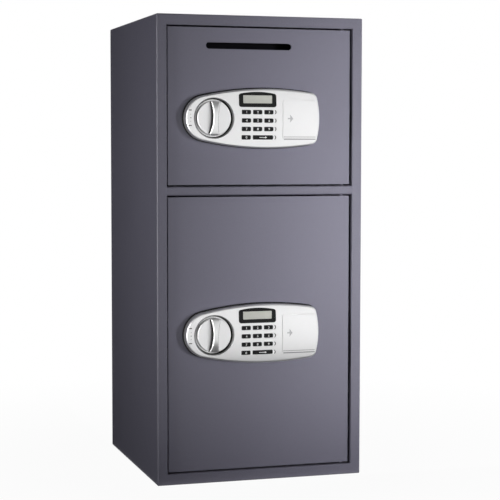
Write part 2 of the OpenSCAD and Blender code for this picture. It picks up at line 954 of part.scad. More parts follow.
// Round blank of the grip with its front crowned from end to end
module grip_blank()
    intersection() {
        turned_y()
            disc_section(knob_r - grip_in, knob_front + cut, knob_front - grip_h, grip_edge);
        translate([0, knob_front - grip_h + grip_crown_r, 0])
            rod_x(grip_crown_r, -knob_r, knob_r, $fn = 360);
    }

// What is hollowed out at one side of the grip
module grip_hollow()
    cylinder(r1 = scoop_r - grip_draft, r2 = scoop_r, h = grip_h + 3 * cut);

// Round knob with a grip across it, hollowed at both sides to an hourglass that widens at the disc
module knob(level)
    color(silver)
        at_knob(level)
            difference() {
                union() {
                    turned_y()
                        disc_section(knob_r, knob_base, knob_front, disc_edge);
                    difference() {
                        grip_blank();
                        rotate([0, grip_lean, 0])
                            for (side = [-1, 1])
                                translate([side * scoop_x, knob_front + 2 * cut, 0])
                                    rotate([90, 0, 0])
                                        grip_hollow();
                    }
                }
                rod_y(spindle_r + seat, knob_base - knob_bore, knob_base + cut);
            }

// Shaft from the knob to the crank that drives the carrier
module spindle(level)
    color(steel_grey)
        at_knob(level) {
            rod_y(spindle_r, knob_base - knob_bore + seat, crank_y + cut);
            rod_y(crank_disc_r, crank_y, crank_y + crank_disc_t);
            rod_y(tail_r, crank_y, carrier_back + 2 * clip_t);
            rod_y(slot_half + clip_rim, carrier_back + clip_t / 2, carrier_back + 1.5 * clip_t);
            translate([bolt_travel / 2, 0, bolt_travel / 2])
                rod_y(crank_pin_r, crank_y, carrier_back + clip_t);
        }

// Plate that the crank pushes, with two bolts on its flange and the tab that the plunger blocks
module bolt_carrier(level)
    color(steel_grey)
        at_knob(level)
            difference() {
                union() {
                    block(
                        [flange_x, carrier_y, -carrier_h / 2],
                        [carrier_right, carrier_back, carrier_h / 2]
                    );
                    block(
                        [flange_x, carrier_y, -carrier_h / 2],
                        [flange_x + carrier_t, bolt_y + bolt_r, carrier_h / 2]
                    );
                    block(
                        [carrier_right - tab_w, carrier_y, -carrier_h / 2 - carrier_t],
                        [carrier_right, carrier_y + tab_d, -carrier_h / 2 + seat]
                    );
                    for (side = [-1, 1])
                        translate([0, bolt_y, side * bolt_dz])
                            rod_x(bolt_r, bolt_tip, flange_x + seat);
                }
                along_y(carrier_y - cut, carrier_back + cut) {
                    long_slot(
                        [-slot_half - slot_spare, -slot_half],
                        [bolt_travel + slot_half + slot_spare, slot_half]
                    );
                    translate([bolt_travel / 2, 0])
                        round_rect(
                            [-crank_pin_r - crank_pin_play, bolt_travel / 2 - crank_pin_r - slot_spare],
                            [crank_pin_r + crank_pin_play, crank_r + crank_pin_r + slot_spare],
                            crank_pin_r
                        );
                }
            }

// Coil in its yoke, screwed to the door under the carrier
module solenoid(level)
    color([0.45, 0.3, 0.2])
        at_knob(level)
            difference() {
                union() {
                    translate([plunger_x, plunger_y, coil_top - coil_h])
                        cylinder(r = coil_r, h = coil_h);
                    for (z = [coil_top - yoke_t, coil_top - coil_h])
                        block(
                            [plunger_x - yoke_w / 2, door_t, z],
                            [plunger_x + yoke_w / 2, plunger_y + yoke_w / 2, z + yoke_t]
                        );
                    block(
                        [plunger_x - yoke_w / 2, door_t, coil_top - coil_h],
                        [plunger_x + yoke_w / 2, door_t + yoke_t, coil_top]
                    );
                }
                translate([plunger_x, plunger_y, coil_top - coil_h - cut])
                    cylinder(r = plunger_r + run, h = coil_h + 2 * cut);
            }

module plunger(level)
    color(steel_grey)
        at_knob(level)
            translate([plunger_x, plunger_y, 0]) {
                translate([0, 0, plunger_end])
                    cylinder(r = plunger_r, h = plunger_tip - plunger_end - plunger_taper);
                translate([0, 0, plunger_tip - plunger_taper])
                    cylinder(r1 = plunger_r, r2 = plunger_r - plunger_taper, h = plunger_taper);
                translate([0, 0, plunger_end - plunger_head_h])
                    cylinder(r = plunger_r + plunger_head_rim, h = plunger_head_h);
            }

// Side view of the mechanism cover, with a sloped top that sheds what is posted
module works_outline(inset)
    polygon([
        [door_t - (inset > 0 ? cut : 0), works_bottom + inset],
        [works_back - inset, works_bottom + inset],
        [works_back - inset, works_slope_z - inset / 2],
        [door_t, works_top - 1.5 * inset],
        [door_t - (inset > 0 ? cut : 0), works_top - 1.5 * inset]
    ]);

// Sheet cover over the boltwork, pierced for the bolts and four screws
module mechanism_cover(level)
    color(cabinet_grey)
        at_lock(level)
            difference() {
                along_x(works_left, works_right)
                    works_outline(0);
                along_x(works_left + works_t, works_right - works_t)
                    works_outline(works_t);
                for (side = [-1, 1])
                    translate([0, bolt_y, side * bolt_dz])
                        rod_x(bolt_r + bolt_window, works_left - cut, works_left + works_t + cut);
                for (p = post_places)
                    translate([p[0], 0, p[1]])
                        rod_y(screw_r + run, works_back - works_t - cut, works_back + cut);
            }

module cover_screws(level)
    color(steel_grey)
        at_lock(level)
            for (p = post_places)
                translate([p[0], works_back, p[1]]) {
                    rod_y(screw_r, -works_t - screw_l, cut / 2);
                    rod_y(screw_head_r, 0, screw_head_t);
                }

// Outline of one key, by number in KEYS
module key_outline(i, grow) {
    place = key_place(i);
    z = row_z(i < 9 ? floor(i / 3) : key_rows - 1);
    x = place[1] / 2 + grow;
    h = key_h / 2 + grow;
    round_rect([place[0] - x, z - h], [place[0] + x, z + h], key_corner_r);
}

// Key cap with the flange that keeps it behind the housing's front
module key(level, i) {
    z = row_z(i < 9 ? floor(i / 3) : key_rows - 1);
    color(black)
        at_lock(level) {
            along_y(crown(z) - key_proud - lock_proud, web_y + slide + flange_t)
                key_outline(i, 0);
            along_y(web_y + slide, web_y + slide + flange_t)
                key_outline(i, flange_w);
        }
}

// Draws what stands under an upper or lower name
module named(level, piece)
    children();

cabinet_shell();
door_frame();
divider_shelf();
back_panel();
floor_mats();
upper_slot_baffle();
for (level = [0, 1]) {
    named(level, "door_panel") door_panel(level);
    named(level, "hinge_pins") hinge_pins(level);
    named(level, "lock_housing") lock_housing(level);
    named(level, "display_bezel") display_bezel(level);
    named(level, "circuit_board") circuit_board(level);
    named(level, "battery_cover") battery_cover(level);
    named(level, "batteries") batteries(level);
    named(level, "key_cylinder") key_cylinder(level);
    named(level, "key_plug") key_plug(level);
    named(level, "knob") knob(level);
    named(level, "spindle") spindle(level);
    named(level, "bolt_carrier") bolt_carrier(level);
    named(level, "solenoid") solenoid(level);
    named(level, "plunger") plunger(level);
    named(level, "mechanism_cover") mechanism_cover(level);
    named(level, "cover_screws") cover_screws(level);
    for (i = [0:len(KEYS) - 1])
        named(level, KEYS[i]) key(level, i);
}
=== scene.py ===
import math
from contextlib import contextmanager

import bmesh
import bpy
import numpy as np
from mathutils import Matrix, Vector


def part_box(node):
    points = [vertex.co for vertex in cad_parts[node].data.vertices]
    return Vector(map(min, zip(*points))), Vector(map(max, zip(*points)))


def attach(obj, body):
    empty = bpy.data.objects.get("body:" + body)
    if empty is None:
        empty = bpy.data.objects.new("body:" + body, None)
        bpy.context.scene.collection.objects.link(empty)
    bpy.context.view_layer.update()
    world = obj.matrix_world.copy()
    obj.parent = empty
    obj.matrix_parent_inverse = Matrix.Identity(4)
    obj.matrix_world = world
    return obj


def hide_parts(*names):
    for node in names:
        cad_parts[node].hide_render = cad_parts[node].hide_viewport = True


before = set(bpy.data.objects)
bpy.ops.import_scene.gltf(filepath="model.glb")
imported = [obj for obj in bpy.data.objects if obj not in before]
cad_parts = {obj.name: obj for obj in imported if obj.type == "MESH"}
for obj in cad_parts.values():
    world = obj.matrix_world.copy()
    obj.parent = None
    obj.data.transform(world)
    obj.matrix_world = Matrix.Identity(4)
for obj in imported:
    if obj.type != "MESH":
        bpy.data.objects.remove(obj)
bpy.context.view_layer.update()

# %% [markdown]
# # A two-door drop safe, dressed for its picture
# The safe's solids are loaded as a fixed frame, in metres, with +Z up and the front facing -Y.
# The lesson gives every surface its finish and replaces the castings, keys and knobs, where a CAD
# mesh shows its facets, with surfaces that numpy works out. All sizes start from the frame, so a
# piece lands where its solid is.

MM = 0.001
LEVELS = ("upper", "lower")


def corners(node):
    """Lowest and highest corner of a node's solid, as arrays in metres."""
    return tuple(np.array(corner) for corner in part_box(node))


# %% [markdown]
# ## The camera
# A long lens stands a little to the left of the safe and just above its middle. Its place is an
# orbit round a target: azimuth from the front, elevation, roll and distance, found by fitting a
# pinhole camera to the corners of the cabinet.

# %% Camera on its orbit
AZIMUTH, ELEVATION, ROLL = math.radians(-16.992), math.radians(3.926), math.radians(0.067)
DISTANCE = 2.652758
TARGET = np.array([0.035271, 0.0, 0.367916])
LENS, SENSOR = 108.91, 36.0


def loose(data):
    """A new object in the scene, with that data and its name."""
    thing = bpy.data.objects.new(data.name, data)
    bpy.context.scene.collection.objects.link(thing)
    return thing


def facing(back, roll=0.0):
    """Turn whose Z axis is the unit vector back and whose X axis is level, before the roll."""
    side = np.cross((0.0, 0.0, 1.0), back)
    side /= np.linalg.norm(side)
    axes = Matrix(np.column_stack([side, np.cross(back, side), back]).tolist())
    return (axes @ Matrix.Rotation(roll, 3, "Z")).to_4x4()


back = np.array([
    math.sin(AZIMUTH) * math.cos(ELEVATION), -math.cos(AZIMUTH) * math.cos(ELEVATION), math.sin(ELEVATION)
])
camera = loose(bpy.data.cameras.new("camera"))
camera.data.lens, camera.data.sensor_width = LENS, SENSOR
camera.matrix_world = Matrix.Translation((TARGET + DISTANCE * back).tolist()) @ facing(back, ROLL)
bpy.context.scene.camera = camera
print("camera at", [round(v, 3) for v in camera.location])

# %% [markdown]
# ## Shader sums as Python sums
# A finish reads best as arithmetic. Socket wraps one output, and + - * on it add Math nodes. Nodes
# holds a tree, and its method add makes every other node: first its settings, then the values or
# links of its sockets. A Finish is a material's tree round its shader.


# %% Socket, Nodes and Finish
class Socket:
    """One output of a shader node, on which + - * add Math nodes."""

    def __init__(self, nodes, output):
        self.nodes, self.output = nodes, output

    def math(self, operation, other):
        return self.nodes.add("ShaderNodeMath", {"operation": operation}, {0: self, 1: other})

    def __add__(self, other):
        return self.math("ADD", other)

    def __mul__(self, other):
        return self.math("MULTIPLY", other)

    def __sub__(self, other):
        return self + other * -1.0

    def __rsub__(self, other):
        return self * -1.0 + other

    __radd__, __rmul__ = __add__, __mul__

    def between(self, low, high):
        """0 below low, 1 above high, and a smooth rise between them."""
        settings = {"interpolation_type": "SMOOTHSTEP"}
        values = {"Value": self, "From Min": low, "From Max": high}
        return self.nodes.add("ShaderNodeMapRange", settings, values)


class Nodes:
    """A node tree to which nodes are added."""

    def __init__(self, tree):
        self.tree = tree

    def add(self, kind, settings=None, values=None, out=0):
        node = self.tree.nodes.new(kind)
        for key, value in (settings or {}).items():
            setattr(node, key, value)
        for key, value in (values or {}).items():
            self.feed(node.inputs[key], value)
        return Socket(self, node.outputs[out])

    def feed(self, target, value):
        if isinstance(value, Socket):
            self.tree.links.new(value.output, target)
        else:
            target.default_value = value


class Finish(Nodes):
    """A procedural material round one Principled shader."""

    def __init__(self, name, **constants):
        self.material = bpy.data.materials.new(name)
        self.material.use_nodes = True
        super().__init__(self.material.node_tree)
        self.shader = self.tree.nodes["Principled BSDF"]
        for key, value in constants.items():
            self.set(key.replace("_", " "), value)
        self.place = self.add("ShaderNodeTexCoord", out="Object")

    def set(self, name, value):
        self.feed(self.shader.inputs[name], value)

    def noise(self, scale, detail=2.0, roughness=0.5, stretch=None):
        place = self.place
        if stretch:
            place = self.add("ShaderNodeMapping", {}, {"Vector": place, "Scale": stretch})
        values = {"Vector": place, "Scale": scale, "Detail": detail, "Roughness": roughness}
        return self.add("ShaderNodeTexNoise", {}, values)

    def mix(self, share, first, second):
        """Colour between two colours; share 0 gives the first one."""
        settings = {"data_type": "RGBA", "clamp_factor": True}
        return self.add("ShaderNodeMix", settings, {0: share, 6: first, 7: second}, out=2)

    def surface(self, tone, dark, light, rough, relief, depth):
        """Colour between dark and light by the tone, roughness, and a relief of that depth."""
        self.set("Base Color", self.mix(tone, dark, light))
        self.set("Roughness", rough)
        self.set("Normal", self.add("ShaderNodeBump", {}, {"Height": relief, "Distance": depth}))
        return self.material


GREEN_LOSS = 0.12


def grey(level, tint=0.0):
    """A colour of that linear level, leaning to violet blue by the tint."""
    return (level, level * (1.0 - GREEN_LOSS * tint), level * (1.0 + tint), 1.0)


# %% [markdown]
# ## Powder coat
# The cabinet and the doors are sprayed with dry powder and baked. The coat flows into a fine
# orange peel with small darker and lighter specks. Two noises give both: the coarse one bends the
# surface and changes its roughness, and the fine one makes the specks. The doors are smoother than
# the folded cabinet, as a flat plate is.

# %% Powder coat for the cabinet and the doors
CABINET_LEVEL, DOOR_LEVEL, PAINT_TINT = 0.125, 0.135, 0.26


def powder_coat(name, level, speck, peel, rough, gleam=0.4):
    coat = Finish(name, Specular_IOR_Level=gleam)
    coarse = coat.noise(420.0, 3.0)
    fine = coat.noise(2200.0, 2.0, 0.7)
    tone = fine.between(0.36, 0.68) * 0.75 + coat.noise(6.0, 2.0) * 0.25
    dark, light = (grey(level * (1 + change), PAINT_TINT) for change in (-speck, speck))
    return coat.surface(tone, dark, light, coarse * 0.12 + (rough - 0.06), coarse * 0.7 + fine * 0.3, peel)


cabinet_paint = powder_coat("cabinet_paint", CABINET_LEVEL, 0.20, 0.14 * MM, 0.38)
door_paint = powder_coat("door_paint", DOOR_LEVEL, 0.12, 0.07 * MM, 0.40)
# The slot's hood gets a near-black coat as painted shade, so that the deposit slot reads dark inside.
hood_shade_black = powder_coat("black_paint", 0.005, 0.30, 0.10 * MM, 0.60, 0.05)
print("powder coat:", cabinet_paint.name, door_paint.name)

# %% [markdown]
# ## Satin silver lacquer
# The lock housings, knobs and battery covers are castings under a silver lacquer with fine metal
# flakes. It is metallic, with a middling roughness that the flakes vary from grain to grain.

# %% Silver lacquer
coat = Finish("silver_casting", Metallic=0.85)
flakes = coat.noise(3200.0, 1.0, 0.6)
rough = flakes * 0.06 + coat.noise(40.0, 2.0) * 0.04 + 0.31
silver = coat.surface(flakes.between(0.3, 0.7), grey(0.82), grey(0.86, 0.01), rough, flakes, 0.002 * MM)
print("lacquer:", silver.name)

# %% [markdown]
# ## Plastics, rubber and paint
# The display's frame is gloss black plastic with the faint waviness of a moulding. The keys are
# matt black rubber with a fine grain. Their digits are white paint, and the ticks on the dial are
# black paint, both a little uneven.


# %% Small mouldings
def moulded(name, level, rough, grain, depth, wave=0.0, tint=0.02, gleam=0.5):
    plastic = Finish(name, Specular_IOR_Level=gleam)
    texture = plastic.noise(grain, 2.0)
    slow = plastic.noise(90.0, 1.0)
    return plastic.surface(texture, grey(level * 0.8, tint), grey(level * 1.2, tint),
                           texture * 0.1 + slow * wave + rough, texture * (1.0 - wave) + slow * wave, depth)


bezel_black = moulded("black_plastic", 0.005, 0.14, 1500.0, 0.01 * MM, 0.3, gleam=0.2)
# A black used as painted shade: in the gap round the knob and on the grip's flanks.
shade_black = moulded("shade_black", 0.006, 0.60, 1500.0, 0.02 * MM, gleam=0.15)
key_black = moulded("key_rubber", 0.006, 0.38, 2600.0, 0.02 * MM, gleam=0.2)
print_white = moulded("print_white", 0.66, 0.45, 3000.0, 0.01 * MM, tint=0.0)
print_black = moulded("print_black", 0.008, 0.45, 3000.0, 0.01 * MM, gleam=0.2)
# A grey that is print on the dial's dots, and painted shade in the cover's two fine lines.
print_grey = moulded("print_grey", 0.22, 0.45, 3000.0, 0.01 * MM)
print_pale = moulded("print_pale", 0.42, 0.45, 3000.0, 0.01 * MM)
print("mouldings:", bezel_black.name, key_black.name)


# %% [markdown]
# ## Metals, board, felt and cells
# Bolts and pins are turned steel, so their grain runs in fine rings across the axis. The key
# barrel is plated and the plug is brass. The other finishes are for the hidden pieces: a green
# board, a copper coil, plain sleeved cells and grey felt.


# %% Steel, plating and brass
def turned_metal(name, colour, rough, axis):
    metal = Finish(name, Metallic=1.0)
    stretch = [60.0, 60.0, 60.0]
    stretch[axis] = 3000.0
    rings = metal.noise(1.0, 3.0, 0.6, stretch)
    dark = tuple(0.82 * c for c in colour[:3]) + (1.0,)
    return metal.surface(rings, dark, colour, rings * 0.16 + rough, rings, 0.015 * MM)


bolt_steel = turned_metal("bright_steel", (0.60, 0.60, 0.61, 1.0), 0.22, 0)
pin_steel = turned_metal("pin_steel", (0.55, 0.55, 0.56, 1.0), 0.26, 2)
plated = turned_metal("plated_steel", (0.72, 0.72, 0.73, 1.0), 0.12, 1)
brass = turned_metal("brass", (0.78, 0.58, 0.25, 1.0), 0.2, 1)
print("metals:", bolt_steel.name, brass.name)


# %% Board, coil, cells and felt
def grained(name, dark, light, scale, rough, depth, stretch=None, metallic=0.0):
    """A finish that wanders between two colours on a stretched noise."""
    stuff = Finish(name, Metallic=metallic)
    grain = stuff.noise(scale, 3.0, 0.6, stretch)
    return stuff.surface(grain.between(0.3, 0.7), dark, light, grain * 0.15 + rough, grain, depth)


board_green = grained("board", (0.004, 0.05, 0.02, 1), (0.012, 0.12, 0.05, 1), 700.0, 0.35, 0.03 * MM)
coil_copper = grained("coil", (0.30, 0.10, 0.03, 1), (0.62, 0.26, 0.10, 1), 1.0, 0.3, 0.2 * MM,
                      (40.0, 40.0, 2200.0), 0.8)
cell_sleeve = grained("cell_sleeve", (0.03, 0.05, 0.14, 1), (0.06, 0.09, 0.22, 1), 60.0, 0.25, 0.01 * MM)
felt = grained("mat_felt", (0.012, 0.012, 0.014, 1), (0.05, 0.05, 0.055, 1), 1600.0, 0.85, 0.6 * MM)
print("finishes:", len(bpy.data.materials))

# %% [markdown]
# ## Surfaces from arrays
# A new piece is a grid of points, worked out as whole arrays. skin joins neighbouring points with
# four-sided faces and the last row to the first, and merges the points that meet at poles and
# seams, so that the mesh is closed and its faces look outwards.

# %% Grid to mesh
WELD, THIN = 1e-6, 1e-7


@contextmanager
def editing(mesh):
    """The mesh as a bmesh, written back to it at the end."""
    work = bmesh.new()
    work.from_mesh(mesh)
    yield work
    work.to_mesh(mesh)
    work.free()


def new_mesh(name, points, faces):
    mesh = bpy.data.meshes.new(name)
    mesh.from_pydata(points, [], faces)
    return mesh


def skin(name, grid):
    """Mesh of a (rows, columns, 3) grid, closed from its last row to its first."""
    rows, columns = grid.shape[:2]
    r, c = np.meshgrid(np.arange(rows), np.arange(columns - 1), indexing="ij")
    after = (r + 1) % rows
    faces = np.stack([r * columns + c, after * columns + c, after * columns + c + 1, r * columns + c + 1], -1)
    return tidy(new_mesh(name, grid.reshape(-1, 3).tolist(), faces.reshape(-1, 4).tolist()))


def vertices(mesh):
    return np.array([vertex.co for vertex in mesh.vertices])


def tidy(mesh):
    """Merges doubled points, drops faces with no area and turns all faces outwards."""
    with editing(mesh) as work:
        bmesh.ops.remove_doubles(work, verts=work.verts, dist=WELD)
        bmesh.ops.dissolve_degenerate(work, edges=work.edges, dist=THIN)
        bmesh.ops.recalc_face_normals(work, faces=work.faces)
    return mesh


def shift(mesh, x, z):
    """Moves a mesh along X and Z."""
    mesh.transform(Matrix.Translation((x, 0, z)))
    return mesh


def turn_profile(name, profile, steps=128):
    """Revolves a profile of (radius, y) points round the Y axis: x = r cos t, z = r sin t."""
    t = np.linspace(0.0, 2.0 * math.pi, steps, endpoint=False)[:, None]
    r, y = np.asarray(profile).T
    return skin(name, np.stack([r * np.cos(t), y + 0.0 * t, r * np.sin(t)], -1))


def box_outline(x0, x1, z0, z1):
    return [(x0, z0), (x1, z0), (x1, z1), (x0, z1)]


def prism(name, outline, y0, y1):
    """Closed block with a flat outline of (x, z) points, from y0 to y1."""
    count = len(outline)
    points = [(x, y, z) for y in (y0, y1) for x, z in outline]
    sides = [(i, (i + 1) % count, (i + 1) % count + count, i + count) for i in range(count)]
    return tidy(new_mesh(name, points, [tuple(range(count)), tuple(range(count, 2 * count))] + sides))


# %% [markdown]
# ## Placing, carving and softening
# place puts a mesh on its body, with its finish. carve cuts one mesh with others, as a milling
# cutter would. soften rounds the sharp edges a little, because real edges always catch some light,
# and weighs the normals by face area, so that flat faces stay flat.


# %% Helpers for pieces
FLAT = math.radians(0.5)


def baked(thing):
    """The mesh of an object as its modifiers leave it; the object is removed."""
    mesh = bpy.data.meshes.new_from_object(thing.evaluated_get(bpy.context.evaluated_depsgraph_get()))
    bpy.data.objects.remove(thing)
    return mesh


def carve(mesh, cutters, operation="DIFFERENCE"):
    """The mesh after each cutter is taken away from it, added to it or crossed with it."""
    part = loose(mesh)
    tools = [loose(cutter) for cutter in cutters]
    for tool in tools:
        cut = part.modifiers.new("cut", "BOOLEAN")
        cut.operation, cut.solver, cut.object = operation, "EXACT", tool
    result = baked(part)
    result.name = mesh.name
    for tool in tools:
        bpy.data.objects.remove(tool)
    return tidy(result)


def soften(part, width, angle):
    """Rounds edges sharper than the angle and shades the rest smoothly."""
    part.data.shade_smooth()
    part.data.set_sharp_from_angle(angle=math.radians(angle))
    if width:
        edge = part.modifiers.new("edge", "BEVEL")
        edge.width, edge.segments, edge.limit_method = width, 2, "ANGLE"
        edge.angle_limit = math.radians(angle)
    part.modifiers.new("weight", "WEIGHTED_NORMAL").keep_sharp = True


def place(mesh, body, finish, slot, edge=0.0, angle=35.0, offset=(0.0, 0.0, 0.0), replaces=()):
    """Makes the mesh a piece of the safe: moved by the offset, finished, and carried by its body."""
    mesh.transform(Matrix.Translation(offset))
    part = loose(mesh)
    mesh.materials.clear()
    mesh.materials.append(finish)
    soften(part, edge, angle)
    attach(part, body)
    if replaces:
        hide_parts(*replaces)
    return part


def dress(node, body, finish, edge, name, slot):
    """A copy of a node's mesh, its triangles merged and joined where flat, that stands for the node."""
    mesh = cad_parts[node].data.copy()
    mesh.name = name
    with editing(mesh) as work:
        bmesh.ops.remove_doubles(work, verts=work.verts, dist=2 * WELD)
        bmesh.ops.dissolve_limit(work, angle_limit=FLAT, verts=work.verts, edges=work.edges)
    return place(mesh, body, finish, slot, edge, replaces=(node,))


# %% [markdown]
# ## The cabinet and the doors
# These are folded and welded sheets, and their solids already have the right bends. A CAD mesh is
# loose triangles, so a copy is merged, its flat faces are joined, and its edges are softened: the
# sheet's cut edges by a small radius, and the mats by a larger one.

# %% Cabinet, frame, shelf, back and mats
for node, edge in {"cabinet_shell": 0.4, "door_frame": 0.3, "divider_shelf": 0.3, "back_panel": 0.3}.items():
    piece = dress(node, "cabinet", cabinet_paint, edge * MM, node.replace("_", "-"), "cabinet_paint")
    print(piece.name, end=" ")
dress("floor_mats", "cabinet", felt, 0.8 * MM, "floor-mats", "mat_felt")
print("and the mats")

# %% Doors and what they carry
for level in LEVELS:
    for node, body, finish, edge, name, slot in [
        ("door_panel", "door", door_paint, 0.5, "door-plate", "door_paint"),
        ("mechanism_cover", "door", cabinet_paint, 0.8, "works-cover", "cabinet_paint"),
        ("hinge_pins", "door", cabinet_paint, 0.4, "pivots", "cabinet_paint"),
        ("bolt_carrier", "bolts", bolt_steel, 0.6, "bolts", "bright_steel"),
        ("key_cylinder", "door", plated, 0.3, "barrel", "plated_steel"),
        ("key_plug", "override_plug", brass, 0.2, "plug", "brass"),
    ]:
        piece = dress(f"{level}_{node}", f"{level}_{body}", finish, edge * MM, f"{level}-{name}", slot)
        print(piece.name, end=" ")
# The hood's near-black coat is painted shade for the inside of the slot.
dress("upper_slot_baffle", "upper_door", hood_shade_black, 0.4 * MM, "slot-hood", "black_paint")
print("and the slot's hood")

# %% [markdown]
# ## The lock housing
# The casting is a long shell whose outline is made of four kinds of arc: a round end at the knob,
# two long arcs above and below, small corners, and a bowed end. Its front is crowned across its
# height, like a slice of a large drum, and its rim is rounded. The grid's columns run along the
# outline, and its rows from the back of the lower edge over the crown to the upper one.

# %% Sizes of the housing, from the frame
lock_low, lock_high = corners("upper_lock_housing")
DOOR_FACE = corners("upper_door_panel")[0][1]
PROUD = DOOR_FACE - lock_low[1]
LOCK_LEN, LOCK_H = lock_high[0] - lock_low[0], lock_high[2] - lock_low[2]
lock_origin = {level: sum(corners(level + "_lock_housing")) / 2 for level in LEVELS}
for origin in lock_origin.values():
    origin[1] = DOOR_FACE
APEX_X, ARC_R, BOW_R, CORNER_R = 24.5 * MM, 495 * MM, 160 * MM, 11 * MM
RIM_R, CROWN_R, WALL, END_STEPS = 3 * MM, 300 * MM, 2 * MM, 28
print("housing %.1f x %.1f mm, %.1f mm proud" % (LOCK_LEN / MM, LOCK_H / MM, PROUD / MM))


# %% Outline and crowned form
def arc(centre, radius, start, end, count):
    angle = np.linspace(start, end, count)
    return np.asarray(centre) + radius * np.column_stack([np.cos(angle), np.sin(angle)])


def bearing(start, end):
    return math.atan2(end[1] - start[1], end[0] - start[0])


def crown(z):
    """The y of the drum-like front at a height above the middle."""
    return CROWN_R - np.sqrt(CROWN_R**2 - z**2) - PROUD


def half_outline(inset):
    """Upper half of the outline, from the round end to the bowed end: four arcs that meet smoothly."""
    long_c = np.array([APEX_X, LOCK_H / 2 - ARC_R])
    reach = -LOCK_LEN / 2 - APEX_X
    end_r = (ARC_R**2 - reach**2 - long_c[1]**2) / (2 * (ARC_R + reach))
    end_c = np.array([-LOCK_LEN / 2 + end_r, 0.0])
    bow_c = np.array([LOCK_LEN / 2 - BOW_R, 0.0])
    gap, r0, r1 = bow_c - long_c, ARC_R - CORNER_R, BOW_R - CORNER_R
    apart = np.linalg.norm(gap)
    along = gap / apart
    reach = (apart**2 + r0**2 - r1**2) / (2 * apart)
    corner_c = long_c + reach * along + math.sqrt(r0**2 - reach**2) * np.array([along[1], -along[0]])
    a, b, c = bearing(long_c, end_c), bearing(long_c, corner_c), bearing(bow_c, corner_c)
    return np.concatenate([
        arc(end_c, end_r - inset, math.pi, a, END_STEPS)[:-1],
        arc(long_c, ARC_R - inset, a, b, 56)[:-1],
        arc(corner_c, CORNER_R - inset, b, c, 12)[:-1],
        arc(bow_c, BOW_R - inset, c, 0.0, 12),
    ])


def closed(half):
    """A whole outline: the upper half, and its mirror image below."""
    return np.concatenate([half, half[-2:0:-1] * [1, -1]])


def rounding(radius, steps):
    """How far a quarter-round edge runs in, r (1 - cos t), and lies back, r (1 - sin t)."""
    t = np.linspace(0.0, math.pi / 2, steps)
    return radius * (1 - np.cos(t)), radius * (1 - np.sin(t))


def drum_form(name, halves, depths, front, rows=28):
    """Closed form from upper half outlines, back to front, their mirror images, and a ruled front.

    halves is (levels, columns, 2) of x and z, depths is the y of each level at each column, and
    front gives the y of the front at any x and z.
    """
    above = np.stack([halves[..., 0], depths, halves[..., 1]], -1)
    below = above * np.array([1.0, 1.0, -1.0])
    rim = halves[-1]
    share = np.linspace(-1.0, 1.0, rows + 2)[1:-1, None]
    x, z = rim[:, 0] + 0.0 * share, rim[:, 1] * share
    face = np.stack([x, front(x, z), z], -1)
    return skin(name, np.concatenate([below, face, above[::-1]]))


def housing_form(name):
    insets, fall = rounding(RIM_R, 10)
    halves = np.stack([half_outline(inset) for inset in (0.0, 0.0, *insets)])
    depths = crown(halves[..., 1]) + np.array([0.0, 0.0, *fall])[:, None]
    depths[0], depths[1] = 0.0, -PROUD / 2
    return drum_form(name, halves, depths, lambda x, z: crown(z))


def on_both(mesh, body, name, finish, slot, edge=0.0, angle=35.0, replaces=()):
    """Places a copy of a piece on the upper and on the lower lock."""
    for level in LEVELS:
        nodes = [f"{level}_{node}" for node in replaces]
        part = place(mesh.copy(), f"{level}_{body}", finish, slot, edge, angle, lock_origin[level], nodes)
        part.name = f"{level}-{name}".replace("_", "-")
    print(f"2 x {name}: {len(mesh.polygons)} faces")


# %% [markdown]
# ## What is cut into the housing
# The knob sits in a round dish with a slanted edge. Each row of keys stands in a shallow channel
# with round ends, and every key has its own hole. The display's frame and the battery cover drop
# into recesses, and behind the front wall the casting is hollow. Each of these is a cutter.

# %% Places of the pieces on the lock, measured from its middle
def on_lock(node):
    """Lowest and highest corner of a solid of the upper lock, from the lock's middle."""
    return (corner - lock_origin["upper"] for corner in corners("upper_" + node))


def middle_half(low, high):
    """Middle and half size of a box, each in X and Z."""
    return ((low + high) / 2)[[0, 2]], ((high - low) / 2)[[0, 2]]


knob_low, knob_high = on_lock("knob")
KNOB_C, (KNOB_R, _) = middle_half(knob_low, knob_high)
bezel_low, bezel_high = on_lock("display_bezel")
(BEZEL_X, _), (BEZEL_HALF, _) = middle_half(bezel_low, bezel_high)
cover_low, cover_high = on_lock("battery_cover")
cell_low, cell_high = on_lock("batteries")
barrel_c, _ = middle_half(*on_lock("key_cylinder"))
BOWL_R, DISH_FLOOR, DISH_EDGE, DISH_SLOPE = KNOB_R + 3.5 * MM, 8 * MM, 2.5 * MM, 4.5 * MM
FLANGE, KEY_GAP, KEY_CORNER = 1 * MM, 0.3 * MM, 0.9 * MM
ROW_DEPTH, ROW_SIDE, ROW_SHIFT, ROW_MARGIN = 1 * MM, 4.5 * MM, 1 * MM, 0.75 * MM
FRONT_WALL, SLIDE, COVER_T, TONGUE, TONGUE_IN = 5 * MM, 0.3 * MM, 3.5 * MM, 1 * MM, 2 * MM
keys, flange = {}, FLANGE * np.array([1, 0, 1])
for key in [f"key_{name}" for name in (*range(1, 10), 0, "enter")]:
    low, high = on_lock(key)
    keys[key] = low + flange, high - flange
print("knob radius %.1f mm, %d keys" % (KNOB_R / MM, len(keys)))


def round_rect(x0, x1, z0, z1, radius, grow=0.0):
    """Outline of a rectangle with round corners, grown on all sides, as (x, z) points, anticlockwise."""
    middles = box_outline(x0 + radius, x1 - radius, z0 + radius, z1 - radius)
    quarter = math.pi / 2
    return np.concatenate([
        arc(middles[(turn + 2) % 4], radius + grow, turn * quarter, (turn + 1) * quarter, 8)
        for turn in (-1, 0, 1, 2)
    ])


